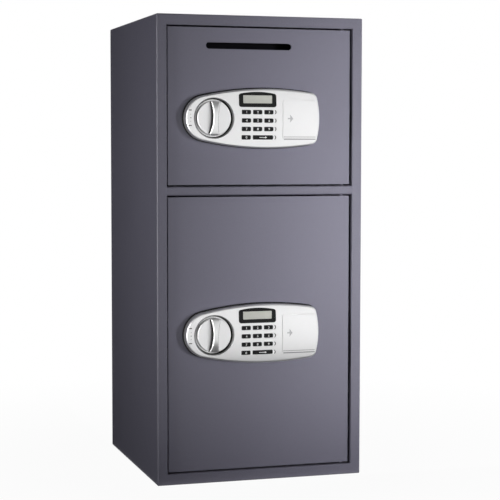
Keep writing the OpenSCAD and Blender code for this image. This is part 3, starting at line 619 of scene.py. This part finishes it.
# %% Cutters
def bezel_outline(grow):
    """Flat base, two lower corners, sides, two upper corners and the arched top."""
    arch_r, corner = 143 * MM, 4 * MM
    arch_c = np.array([BEZEL_X, bezel_high[2] - arch_r])
    x = BEZEL_HALF - corner
    upper = np.array([BEZEL_X + x, arch_c[1] + math.sqrt((arch_r - corner)**2 - x**2)])
    turn = bearing(arch_c, upper)
    half = np.concatenate([
        arc((BEZEL_X + x, bezel_low[2] + corner), corner + grow, -math.pi / 2, 0.0, 8),
        arc(upper, corner + grow, 0.0, turn, 8)[:-1],
        arc(arch_c, arch_r + grow, turn, math.pi / 2, 24),
    ])
    return np.concatenate([half, half[-2::-1] * [-1, 1] + [2 * BEZEL_X, 0]])


def dish_cutter():
    clear = 2 * MM
    bowl = [(0, -DISH_FLOOR), (BOWL_R - MM, -DISH_FLOOR), (BOWL_R, -DISH_FLOOR - MM),
            (BOWL_R, DISH_SLOPE - PROUD), (BOWL_R + DISH_EDGE * (1 + clear / DISH_SLOPE), -PROUD - clear),
            (0, -PROUD - clear)]
    return shift(turn_profile("dish", bowl), *KNOB_C)


def key_row(row):
    """Left end, right end, middle and half height of the shallow channel round a row of keys."""
    low, high = keys["key_%d" % (3 * row + 1) if row < 3 else "key_0"]
    right_edge = keys["key_3"][1][0]
    (_, z), (_, half) = middle_half(low, high)
    return low[0] - ROW_SIDE + ROW_SHIFT, right_edge + ROW_SIDE + ROW_SHIFT, z, half + ROW_MARGIN


def key_cutters():
    cutters = []
    for row in range(4):
        x0, x1, z, half = key_row(row)
        path = round_rect(x0, x1, z - half, z + half, half - 0.3 * MM)
        cutters.append(prism("channel", path, -PROUD - MM, crown(z) + ROW_DEPTH))
    for low, high in keys.values():
        path = round_rect(low[0], high[0], low[2], high[2], KEY_CORNER, KEY_GAP)
        cutters.append(prism("well", path, -PROUD - MM, FRONT_WALL - PROUD + MM))
    return cutters


def cover_outline(grow):
    """Left corners are round; the right side runs out past the housing's bowed end."""
    return round_rect(cover_low[0], LOCK_LEN, cover_z0, cover_z1, 3 * MM, grow)


cover_z0, cover_z1 = cover_low[2] + TONGUE, cover_high[2] - TONGUE
COVER_BACK = COVER_T - PROUD


def block(name, x0, x1, y0, y1, z0, z1):
    return prism(name, box_outline(x0, x1, z0, z1), y0, y1)


# %% [markdown]
# ## Carving the housing
# The form is carved once and placed on both doors, because the two locks are the same. The block
# for the battery tray is added first, as it stands out through the door plate. The room for the
# cells and for the key barrel is cut away last.

# %% Carve one housing and place it on both doors
tray_wall, tray_gap = 2 * MM, 0.5 * MM
outward = np.array([-1, 1, 0, 1, -1, 1])
tray = np.array([cell_low[0], cell_high[0], COVER_BACK, cell_high[1], cell_low[2], cell_high[2]])
tray += tray_gap * outward
grown = tray + tray_wall * outward
grown[2] = -MM
well_left, well_right = cover_low[0] + tray_wall, tray[0] - tray_wall
BARREL_R, WELL_FLOOR = 9.45 * MM, 4 * MM
casting = carve(housing_form("casting"), [block("tray", *grown)], "UNION")
inside = closed(half_outline(WALL))
inside[:, 0] = np.clip(inside[:, 0], KNOB_C[0] + BOWL_R + WALL, cover_low[0])
hollow = prism("hollow", inside, FRONT_WALL - PROUD, MM)
SEAM, SEAM_DEEP, THUMB_GAP, THUMB_DEEP, FRAME_SEAT = 0.45 * MM, 0.7 * MM, 1.7 * MM, 1.2 * MM, 2.5 * MM
seam_floor = housing_form("floor")
seam_floor.transform(Matrix.Translation((0, SEAM_DEEP, 0)) @ Matrix.Diagonal((1.002, 1, 1.002, 1)))
seam = carve(prism("seam", cover_outline(SLIDE + SEAM), -PROUD - MM, 0.0), [seam_floor])
thumb_gap = block("gap", cover_low[0] + 2 * MM, LOCK_LEN / 2 - 5 * MM, -PROUD - MM,
                  crown(cover_z0) + THUMB_DEEP, cover_z0 - THUMB_GAP, cover_z0 + SLIDE)
barrel_profile = [(0, -PROUD), (BARREL_R, -PROUD), (BARREL_R, MM), (0, MM)]
casting = carve(casting, [dish_cutter(), hollow] + key_cutters())
casting = carve(casting, [
    prism("frame", bezel_outline(0.05 * MM), -PROUD - MM, FRONT_WALL - FRAME_SEAT - PROUD),
    block("window", bezel_low[0] + 6 * MM, bezel_high[0] - 6 * MM, -PROUD - MM, FRONT_WALL - PROUD + MM,
          bezel_low[2] + 5 * MM, bezel_low[2] + 20 * MM),
    seam,
    thumb_gap,
    prism("cover", cover_outline(SLIDE), -PROUD - MM, COVER_BACK + 0.2 * MM),
    block("groove", cover_low[0] + TONGUE_IN - SLIDE, LOCK_LEN, COVER_BACK - TONGUE - SLIDE,
          COVER_BACK + 0.2 * MM, cover_low[2] - SLIDE, cover_high[2] + SLIDE),
    block("cells", *tray),
    block("well", well_left, well_right, COVER_BACK, -WELL_FLOOR, tray[4], tray[5]),
    shift(turn_profile("barrel", barrel_profile, 64), *barrel_c),
])
on_both(casting, "door", "lock-casting", silver, "silver_casting", 0.25 * MM, 30.0, ["lock_housing"])

# %% [markdown]
# ## The gasket and its painted shadow
# A thin black gasket lies between each casting and its door. It follows the outline, a little
# outside it, and is set half a millimetre to the upper left, so its dark line is wider there: that
# extra width is painted shadow, standing in for the casting's shadow on the door.

# %% Gaskets, with painted shadow
GASKET_OUT, GASKET_T, SHADOW_SHIFT = 1.6 * MM, 1.6 * MM, 0.5 * MM
gasket_and_shadow = prism("gasket_and_shadow", closed(half_outline(-GASKET_OUT)), -GASKET_T, -0.02 * MM)
core = prism("core", closed(half_outline(0.0)), -3 * MM, MM)
# The shift to the upper left is painted shadow: it widens the dark line where the casting's shadow falls.
gasket_and_shadow = carve(shift(gasket_and_shadow, -SHADOW_SHIFT, SHADOW_SHIFT), [core])
on_both(gasket_and_shadow, "door", "lock-gasket", key_black, "key_rubber", 0.2 * MM, 30.0)

# %% [markdown]
# ## The painted shade round the knob
# A thin black sleeve lines the gap between the knob and the dish. It is painted shade, standing in
# for the shade in that gap, and from the left it shows as a crescent on the far side only. It is a
# closed profile, turned round the knob's axis.

# %% Sleeves of painted shade
SLEEVE_T = 0.35 * MM
sleeve_top, inner_r = DISH_SLOPE - PROUD + 0.2 * MM, BOWL_R - SLEEVE_T
sleeve_profile = [
    (BOWL_R - MM, -DISH_FLOOR), (BOWL_R, -DISH_FLOOR - MM), (BOWL_R, sleeve_top), (inner_r, sleeve_top),
    (inner_r, -DISH_FLOOR - 1.1 * MM), (inner_r - MM, -DISH_FLOOR), (BOWL_R - MM, -DISH_FLOOR),
]
sleeve = shift(turn_profile("sleeve", sleeve_profile), *KNOB_C)
# The sleeve's black is painted shade for the gap round the knob.
on_both(sleeve, "door", "knob-sleeve", shade_black, "black_plastic", 0.0, 40.0)

# %% [markdown]
# ## The battery cover
# The cover is a slice of the same crowned form, so that its front and rim run on from the housing
# without a step. It gets a tongue along each side, and a fine groove above its lower edge, where a
# thumb pushes it aside.

# %% Battery covers
TONGUE_RIGHT = LOCK_LEN / 2 - 31.5 * MM
GROOVE_UP, GROOVE_W, GROOVE_D = 2.6 * MM, 0.9 * MM, 0.5 * MM
cover_slice = prism("slice", cover_outline(0.0), -PROUD - MM, COVER_BACK)
cover = carve(housing_form("cover"), [cover_slice], "INTERSECT")
tongues = block("tongues", cover_low[0] + TONGUE_IN, TONGUE_RIGHT, COVER_BACK - TONGUE, COVER_BACK,
                cover_low[2], cover_high[2])
cover = carve(cover, [tongues], "UNION")
groove_z = cover_z0 + GROOVE_UP
cover = carve(cover, [block("line", cover_low[0] + 1.5 * MM, LOCK_LEN / 2 - 6 * MM, -PROUD - MM,
                            crown(groove_z) + GROOVE_D, groove_z - GROOVE_W / 2,
                            groove_z + GROOVE_W / 2)])
on_both(cover, "battery_cover", "cell-cover", silver, "silver_casting", 0.3 * MM, 30.0, ["battery_cover"])

# %% [markdown]
# ## The knob
# A disc with a grip across it. From the front, the grip is an hourglass: its ends are arcs of the
# disc's circle, and each long side is hollowed by a much larger one. It grows wider towards the
# disc, its edges are rounded, and its front falls away to both ends. It is drawn lying down, turned
# upright, and joined to the disc.

# %% Knob
GRIP_H, WAIST, SCOOP_R, GRIP_EDGE = 12 * MM, 8 * MM, 89 * MM, 2.5 * MM
GRIP_CROWN, GRIP_IN, GRIP_DRAFT, DRAFT_TOP = 60 * MM, 0.3 * MM, 0.8 * MM, 0.16 * MM
DISC_EDGE, GRIP_ROOT, UPRIGHT = 1.2 * MM, 0.6 * MM, Matrix.Rotation(math.radians(2.5 - 90.0), 4, "Y")
disc_front = knob_low[1] + GRIP_H


def grip_front(x):
    """The y of the lying grip's front, which falls away to both ends."""
    return knob_low[1] + GRIP_CROWN - np.sqrt(GRIP_CROWN**2 - x**2)


def grip_half(inset, hollow_in):
    """Left end arc, long hollow and right end arc of the lying grip, above its middle line."""
    end_r, side_r = KNOB_R - GRIP_IN - inset, SCOOP_R + inset - hollow_in
    side_c = SCOOP_R + WAIST / 2
    z = (end_r**2 + side_c**2 - side_r**2) / (2 * side_c)
    x = math.sqrt(end_r**2 - z**2)
    turn = math.atan2(side_c - z, x)
    return np.concatenate([
        arc((0, 0), end_r, math.pi, math.atan2(z, -x), 14)[:-1],
        arc((0, side_c), side_r, math.pi + turn, 2 * math.pi - turn, 48),
        arc((0, 0), end_r, math.atan2(z, x), 0.0, 14)[1:],
    ])


def grip_mesh():
    insets, fall = rounding(GRIP_EDGE, 9)
    hollow = (GRIP_DRAFT, *(fall * DRAFT_TOP / GRIP_EDGE))
    halves = np.stack([grip_half(*pair) for pair in zip((0.0, *insets), hollow)])
    depths = grip_front(halves[..., 0]) + np.array([0.0, *fall])[:, None]
    depths[0] = disc_front + GRIP_ROOT
    mesh = drum_form("grip", halves, depths, lambda x, z: grip_front(x), 14)
    mesh.transform(UPRIGHT)
    return mesh


insets, fall = rounding(DISC_EDGE, 8)
rim = np.column_stack([KNOB_R - insets, disc_front + fall])
disc = turn_profile("knob", [(0, knob_high[1]), (KNOB_R, knob_high[1])] + rim.tolist() + [(0, disc_front)])
knob = shift(carve(disc, [grip_mesh()], "UNION"), *KNOB_C)
on_both(knob, "knob", "knob-casting", silver, "silver_casting", 0.35 * MM, 40.0, ["knob"])

# %% [markdown]
# ## Painted shade on the grip
# A black lining lies on each hollow side of the grip: painted shade, standing in for the shade on
# the grip's steep flanks. It is a thin ribbon between the disc and the rounded front edge, and its
# thickness runs out at both ends.

# %% Grip linings of painted shade
LINING_T, LINING_L = 0.2 * MM, 0.947


def lining_mesh(side):
    """Ribbon on the side z = side_c - sqrt(r^2 - x^2) of the lying grip, closed by points at its ends."""
    t = np.linspace(-1.0, 1.0, 49)
    x = LINING_L * (KNOB_R - GRIP_IN) * t
    thick = (1.0 - t**24) * LINING_T
    top, bottom = grip_front(x) + 0.8 * GRIP_EDGE, disc_front - LINING_T
    rows = []
    for y, draft, out in [(bottom, GRIP_DRAFT, 1), (top, DRAFT_TOP, 1), (top, DRAFT_TOP, -2),
                          (bottom, GRIP_DRAFT, -2)]:
        wall = SCOOP_R + WAIST / 2 - np.sqrt((SCOOP_R - draft)**2 - x**2)
        depth = np.where(np.abs(t) < 1.0, y, (disc_front + top) / 2)
        rows.append(np.column_stack([x, depth, side * (wall + out * thick)]))
    mesh = skin("lining", np.array(rows))
    mesh.transform(UPRIGHT)
    return shift(mesh, *KNOB_C)


# Both ribbons are painted shade on the grip's flanks.
for name, side in [("left", 1), ("right", -1)]:
    on_both(lining_mesh(side), "knob", "grip-lining-" + name, shade_black, "black_plastic", 0.0, 40.0)

# %% [markdown]
# ## Display
# The black frame has an arched top and stands a little proud of the casting. It is a slab whose
# front follows the crown, crossed with a prism of the frame's outline. Its window is cut out last,
# and a pale grey panel lies behind it.

# %% Display frame and panel
WINDOW_W, WINDOW_H, WINDOW_UP, BEZEL_PROUD = 49 * MM, 13 * MM, 6 * MM, 0.8 * MM
window_z = bezel_low[2] + WINDOW_UP


def bezel_slab():
    """A larger slab whose front follows the crown, for cutting the frame from."""
    (x0, _, z0), (x1, _, z1), back = bezel_low - MM, bezel_high + MM, bezel_high[1]
    z = np.linspace(z0, z1, 24)
    outline = np.concatenate([np.column_stack([crown(z) - BEZEL_PROUD, z]), [[back, z1], [back, z0]]])
    grid = np.stack([np.column_stack([np.full(len(outline), x), outline]) for x in (x0, x1)], 1)
    mesh = skin("bezel", grid)
    with editing(mesh) as work:
        bmesh.ops.holes_fill(work, edges=[edge for edge in work.edges if edge.is_boundary])
        bmesh.ops.recalc_face_normals(work, faces=work.faces)
    return mesh


shape = prism("shape", bezel_outline(0.0), -PROUD - 3 * MM, bezel_high[1] + MM)
bezel = carve(bezel_slab(), [shape], "INTERSECT")
window = BEZEL_X - WINDOW_W / 2, BEZEL_X + WINDOW_W / 2, window_z, window_z + WINDOW_H
bezel = carve(bezel, [prism("window", round_rect(*window, MM), -PROUD - 3 * MM, MM)])

# %% Panel finish behind a clear film, and both pieces placed
panel_finish = Finish("display_panel", Coat_Weight=0.6, Coat_Roughness=0.05)
fog = panel_finish.noise(60.0, 2.0)
weave = panel_finish.noise(2500.0, 1.0)
PANEL_DARK, PANEL_PALE = (0.40, 0.405, 0.37, 1), (0.50, 0.50, 0.46, 1)
panel_finish.set("Base Color", panel_finish.mix(fog * 0.6 + weave * 0.4, PANEL_DARK, PANEL_PALE))
panel_finish.set("Roughness", weave * 0.1 + 0.25)
pane = round_rect(*window, 1.1 * MM, -0.1 * MM)
pane = prism("panel", pane, bezel_high[1] - 1.6 * MM, bezel_high[1] + 0.2 * MM)
on_both(bezel, "door", "display-frame", bezel_black, "black_plastic", 0.5 * MM, 30.0, ["display_bezel"])
on_both(pane, "door", "display-panel", panel_finish.material, "black_plastic", 0.1 * MM, 30.0)

# %% [markdown]
# ## Keys
# A key is a rubber pillow: its outline is a superellipse, which is nearly a rectangle but has no
# true corner, and its top swells in both directions. Below the casting's front it has a flange
# that keeps it in. The grid is the same drum form as before, with few rows.

# %% Key caps
POWER, KEY_EDGE, KEY_DOME, FLANGE_T = 7.0, 0.6 * MM, 0.35 * MM, 1 * MM


def pillow_half(a, b):
    """Upper half of |x/a|^n + |z/b|^n = 1, from left to right."""
    t = np.linspace(math.pi, 0.0, 40)
    c, s = np.cos(t), np.clip(np.sin(t), 0.0, 1.0)
    return np.column_stack([a * np.sign(c) * np.abs(c) ** (2 / POWER), b * s ** (2 / POWER)])


def key_top(x, z, a, b):
    """How far the pillow's top lies below its middle, from 0 in the middle to the dome's height."""
    return KEY_DOME * (1 - (1 - (x / a)**2) * (1 - (z / b)**2))


def key_cap(name, low, high):
    middle, (a, b) = middle_half(low, high)
    insets, fall = rounding(KEY_EDGE, 5)
    halves = np.stack([pillow_half(a - inset, b - inset) for inset in (-FLANGE, -FLANGE, 0.0, *insets)])
    shoulder = high[1] - FLANGE_T
    flat = np.array([high[1], shoulder, shoulder, *(low[1] + fall)])
    depths = np.repeat(flat[:, None], halves.shape[1], 1)
    depths[3:] += key_top(halves[3:, :, 0], halves[3:, :, 1], a, b)
    mesh = drum_form(name, halves, depths, lambda x, z: low[1] + key_top(x, z, a, b), 8)
    return shift(mesh, *middle)


for key, (low, high) in keys.items():
    on_both(key_cap(key, low, high), key, key + "-cap", key_black, "key_rubber", 0.0, 40.0, [key])

# %% [markdown]
# ## Digits
# The digits are plain ones from Blender's own font, made into thin meshes, and the wide key has a
# plain arrow. The nine is the six turned half round. Each lies on the swell of its key, so its
# points are pushed back by the same formula as the key's top.

# %% Digits and arrows
DIGIT_H, STROKE, INK, INK_SINK, PRINT_STEP = 5.4 * MM, 0.12 * MM, 0.10 * MM, 0.05 * MM, 1.2 * MM


def text_outline(text):
    """Flat mesh of a text, lying in X and Z and centred on both."""
    curve = bpy.data.curves.new(text, "FONT")
    curve.body, curve.size, curve.offset = text, DIGIT_H, STROKE
    mesh = baked(loose(curve))
    points = vertices(mesh)[:, [0, 2, 1]]
    points -= (points.min(0) + points.max(0)) / 2
    mesh.vertices.foreach_set("co", points.ravel())
    return mesh


def flat_mesh(name, points):
    """One face with that outline of (x, z) points."""
    return new_mesh(name, [(x, 0.0, z) for x, z in points], [tuple(range(len(points)))])


def printed(mesh, lay, depth=INK):
    """Gives a flat print its thickness and lays its points on a surface y = lay(x, z)."""
    with editing(mesh) as work:
        bmesh.ops.remove_doubles(work, verts=work.verts, dist=WELD)
        bmesh.ops.triangulate(work, faces=work.faces)
        for _ in range(2):
            long_edges = [edge for edge in work.edges if edge.calc_length() > PRINT_STEP]
            bmesh.ops.subdivide_edges(work, edges=long_edges, cuts=1)
        made = bmesh.ops.extrude_face_region(work, geom=list(work.faces))
        for vertex in work.verts:
            vertex.co.y = lay(vertex.co.x, vertex.co.z) + INK_SINK
        for raised in made["geom"]:
            if isinstance(raised, bmesh.types.BMVert):
                raised.co.y -= depth
        bmesh.ops.recalc_face_normals(work, faces=work.faces)
    return mesh


def key_print(key, low, high):
    middle, (a, b) = middle_half(low, high)
    if key == "key_enter":
        shaft, head, reach, neck = 0.55 * MM, 1.7 * MM, 6.5 * MM, 3.3 * MM
        flat = flat_mesh(key, [(-reach, -shaft), (neck, -shaft), (neck, -head), (reach, 0), (neck, head),
                               (neck, shaft), (-reach, shaft)])
    else:
        flat = text_outline("6" if key == "key_9" else key[-1])
        if key == "key_9":
            flat.transform(Matrix.Rotation(math.pi, 4, "Y"))
    return shift(printed(flat, lambda x, z: low[1] + key_top(x, z, a, b)), *middle)


for key, (low, high) in keys.items():
    on_both(key_print(key, low, high), key, key + "-print", print_white, "key_rubber", 0.0, 40.0)

# %% [markdown]
# ## Marks on the dial and the cover, and painted shade
# Two black ticks left of the knob show its two positions, with small grey dots between them, all on
# the casting's crown. A thin black crescent at the right end of each channel is painted shade for
# the channel's shaded end wall. The cover has a plain arrow that shows the way it slides, and grey
# strips in the two fine lines at its lower edge are painted shade for those lines.

# %% Ticks, dots, painted-shade crescents, the cover's arrow and its two painted-shade strips
TICK = (-108.5 * MM, -103.5 * MM, 0.7 * MM)
TICK_Z = (12.7 * MM, -11.8 * MM)
DIAL_INK = 0.2 * MM
DOTS = ((6.0 * MM, 0.6 * MM), (0.4 * MM, 0.9 * MM), (-5.2 * MM, 0.6 * MM))


def on_crown(x, z):
    """The casting's front near its round end: the crown, rounded off towards the rim."""
    end = half_outline(0.0)[:END_STEPS]
    edge = x - np.interp(abs(z), end[:, 1], end[:, 0])
    past = min(max(RIM_R - edge, 0.0), RIM_R)
    return crown(z) + RIM_R - math.sqrt(RIM_R**2 - past**2)


def row_end_outline(row):
    """Crescent between the channel's round right end and the same arc moved to the left."""
    x0, x1, z, half = key_row(row)
    outer = arc((x1 - half, z), half - END_IN, -END_TURN, END_TURN, 13)
    return np.concatenate([outer, outer[-2:0:-1] - [END_W, 0]])


END_IN, END_W, END_T, END_TURN = 0.35 * MM, 1.3 * MM, 0.25 * MM, math.radians(62)
ARROW = [(-4.5, 0), (0.5, -6.5), (0.5, -1.0), (4.5, -1.0), (4.5, 1.0), (0.5, 1.0), (0.5, 6.5)]
ARROW_X, LINE_END = cover_low[0] + 12.5 * MM, LOCK_LEN / 2 - 6.5 * MM


def mark(name, outline, finish, lay, thick, body="door", slot="key_rubber"):
    on_both(printed(flat_mesh(name, outline), lay, thick), body, name, finish, slot)


def cover_mark(name, outline, finish, deep, thick, body="battery_cover"):
    """A mark that lies as deep as given behind the crowned front."""
    mark(name, outline, finish, lambda x, z: crown(z) + deep, thick, body, "silver_casting")


for index, z in enumerate(TICK_Z, 1):
    tick = box_outline(TICK[0], TICK[1], z - TICK[2], z + TICK[2])
    mark(f"dial-tick-{index}", tick, print_black, on_crown, DIAL_INK)
for index, (z, radius) in enumerate(DOTS, 1):
    dot = arc(((TICK[0] + TICK[1]) / 2 + MM, z), radius, 0.0, 2 * math.pi, 17)[:-1]
    mark(f"dial-dot-{index}", dot, print_grey, on_crown, DIAL_INK)
# Each crescent is black painted shade at the channel's shaded right end.
for row in range(4):
    floor_y = float(crown(key_row(row)[2])) + ROW_DEPTH
    mark(f"row-end-{row + 1}", row_end_outline(row), key_black, lambda x, z: floor_y, END_T)
cover_mark("cover-arrow", np.array(ARROW) * [-MM, MM] + [ARROW_X, 0], print_pale, 0.0, 0.08 * MM)
# The two grey strips are painted shade on the floors of the thumb gap and the groove.
gap = box_outline(cover_low[0] + 2.2 * MM, LINE_END, cover_z0 - THUMB_GAP - 0.1 * MM, cover_z0 - 0.15 * MM)
cover_mark("cover-gap", gap, print_grey, 0.5 * MM, 0.25 * MM, "door")
groove = box_outline(cover_low[0] + 1.7 * MM, LINE_END, groove_z - 0.4 * MM, groove_z + 0.4 * MM)
cover_mark("cover-groove", groove, print_grey, 0.4 * MM, 0.15 * MM)

# %% [markdown]
# ## Screws, cells and the hidden works
# The sheet cover behind each door is held by four pan-head screws with a cross recess: a dome
# turned from an arc, cut by two thin blocks. The pieces that the covers hide keep their solids
# and get only a finish.

# %% Screws
SHANK_R, HEAD_R, HEAD_H, RISE = 2 * MM, 4 * MM, 2.4 * MM, 0.65


def screw_mesh(centre, back_y, shank_l):
    dome = arc((0, 0), 1.0, 0.0, math.pi / 2, 9)
    head = np.column_stack([HEAD_R * dome[:, 0], back_y + HEAD_H * (1 - RISE + RISE * dome[:, 1])])
    profile = [(0, back_y - shank_l), (SHANK_R, back_y - shank_l), (SHANK_R, back_y), (HEAD_R, back_y)]
    mesh = turn_profile("screw", profile + head.tolist(), 40)
    arm_w, arm_l, top = 0.45 * MM, 0.62 * HEAD_R, back_y + 0.45 * HEAD_H
    cross = [block("arm", -w, w, top, back_y + 2 * HEAD_H, -l, l) for w, l in ((arm_w, arm_l), (arm_l, arm_w))]
    return shift(carve(mesh, cross), *centre)


for level in LEVELS:
    points = vertices(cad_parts[level + "_cover_screws"].data)
    low, high = points.min(0), points.max(0)
    seat_y = high[1] - HEAD_H
    shank_l = seat_y - low[1] - 0.1 * MM
    heads = points[points[:, 1] > seat_y + 0.5 * HEAD_H]
    centres = []
    for group in (heads[heads[:, 0] < 0.0], heads[heads[:, 0] >= 0.0]):
        middle = (group[:, 2].min() + group[:, 2].max()) / 2
        for part in (group[group[:, 2] < middle], group[group[:, 2] >= middle]):
            centres.append((part.min(0) + part.max(0))[[0, 2]] / 2)
    joined = bpy.data.meshes.new("screws")
    with editing(joined) as work:
        for centre in centres:
            work.from_mesh(screw_mesh(centre, seat_y, shank_l))
    place(joined, level + "_door", pin_steel, "bright_steel", 0.12 * MM, 40.0,
          replaces=[level + "_cover_screws"]).name = level + "-cover-screws"
    print(level, "screws:", len(centres))

# %% Finishes for the pieces that keep their solids
for level in LEVELS:
    for node, finish in [("circuit_board", board_green), ("batteries", cell_sleeve), ("solenoid", coil_copper),
                         ("spindle", bolt_steel), ("plunger", pin_steel)]:
        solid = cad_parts[f"{level}_{node}"]
        solid.data.materials.clear()
        solid.data.materials.append(finish)
print("finished in place: 5 pieces on each door")

# %% [markdown]
# ## Studio
# The safe stands on a white floor before a white world. Camera, mirror and glass rays see both as
# white, whatever light falls there, but for a faint shadow near the safe. The tall key lamp stands
# low at the right front, so that the doors grow lighter from left to right and the locks throw
# their shadow to the upper left; a grid narrows its beam, and mirror rays don't see it, or the
# enamel would show a glaring patch. The side lamp lights the left wall. The broad edge lamp, which
# only mirror rays see, draws the bright line on the cabinet's front bend and on the castings'
# roundings. The top lamp and the world fill the rest. White floor and sky would wash out the dark
# enamel at a low angle, so it mirrors black flags round the safe, which the camera doesn't see.

# %% World
FILL = 0.34
world = bpy.data.worlds.new("world")
world.use_nodes = True
bpy.context.scene.world = world


def seen(nodes):
    """1 for camera, mirror and glass rays, and 0 for others."""
    camera_ray, glossy, glass = (nodes.add("ShaderNodeLightPath", out="Is %s Ray" % kind)
                                 for kind in ("Camera", "Glossy", "Transmission"))
    return camera_ray.math("MAXIMUM", glossy).math("MAXIMUM", glass)


sky = Nodes(world.node_tree)
sky_shader = sky.tree.nodes["Background"]
sky.feed(sky_shader.inputs["Color"], grey(1.0))
sky.feed(sky_shader.inputs["Strength"], 1.0 - (1.0 - FILL) * (1.0 - seen(sky)))
print("world: %.2f to the lit rays, 1 to the seen ones" % FILL)


# %% Floor and flags
def stage_plane(name, points, level, share=0.0):
    """A sheet of the studio. The seen rays find that share of it plain white near the middle, and all
    of it from FADE[1] on."""
    paper = Finish(name, Roughness=0.9, Specular_IOR_Level=0.1)
    paper.set("Base Color", grey(level))
    if share:
        reach = paper.add("ShaderNodeVectorMath", {"operation": "LENGTH"}, {0: paper.place}, "Value")
        white = paper.add("ShaderNodeMapRange", {}, {
            "Value": reach, "From Min": FADE[0], "From Max": FADE[1], "To Min": share, "To Max": 1.0
        })
        lit, glow = Socket(paper, paper.shader.outputs[0]), paper.add("ShaderNodeEmission")
        mixed = paper.add("ShaderNodeMixShader", {}, {0: seen(paper) * white, 1: lit, 2: glow})
        paper.feed(paper.tree.nodes["Material Output"].inputs[0], mixed)
    sheet = loose(new_mesh(name, points, [(0, 1, 2, 3)]))
    sheet.data.materials.append(paper.material)
    return sheet


HALF, CLOTH, FLOOR, FLOOR_WHITE, FADE = 6.0, 0.012, 0.55, 0.96, (0.3, 1.0)


def lying(x0, x1, y0, y1, z):
    """Corners of a level sheet."""
    return [(x, y, z) for x, y in box_outline(x0, x1, y0, y1)]


def standing(x0, y0, x1, y1, top):
    """Corners of an upright sheet that stands on a line on the floor."""
    return [(x0, y0, 0.0), (x1, y1, 0.0), (x1, y1, top), (x0, y0, top)]


stage_plane("floor", lying(-HALF, HALF, -HALF, HALF, 0.0), FLOOR, FLOOR_WHITE)
for name, points in {
    "left-flag": standing(-1.0, -0.9, -1.0, 1.0, 1.8),
    "floor-flag": lying(-0.9, -0.176, -0.4, 0.7, 0.002),
    "near-flag": lying(-0.3, 0.5, -0.62, -0.19, 0.002),
    "back-flag": standing(-1.0, 0.9, -0.176, 0.19, 1.4),
    "front-flag": standing(-2.2, -2.9, -0.35, -2.9, 1.8),
    "top-flag": lying(-1.5, 1.5, -2.2, -0.1, 1.9),
}.items():
    stage_plane(name, points, CLOTH).visible_camera = False
print("floor and flags:", HALF * 2, "m across")


# %% Lamps
def softbox(name, stand, aim, width, height, power, spread=180.0):
    """A lamp at stand that faces aim; a spread under 180 degrees is a grid in front of it."""
    data = bpy.data.lights.new(name, "AREA")
    data.shape, data.size, data.size_y, data.energy = "RECTANGLE", width, height, power
    data.spread = math.radians(spread)
    lamp = loose(data)
    back = np.array(stand) - np.array(aim)
    lamp.matrix_world = Matrix.Translation(stand) @ facing(back / np.linalg.norm(back))
    lamp.visible_camera = False
    return lamp


softbox("key", (0.68, -1.15, 0.37), (0.21, -0.175, 0.38), 0.30, 1.00, 2.55, 44.0).visible_glossy = False
softbox("top", (0.6, -0.1, 1.8), (0.0, 0.0, 0.5), 0.8, 0.8, 2.5)
softbox("side", (-0.92, -0.32, 0.50), (-0.18, 0.0, 0.46), 0.25, 0.50, 4.4).visible_glossy = False
softbox("edge", (-0.90, -0.62, 0.40), (-0.18, -0.18, 0.40), 0.45, 1.10, 13.5).visible_diffuse = False
print("lamps:", len(bpy.data.lights))
bpy.context.scene.view_settings.view_transform = "Standard"
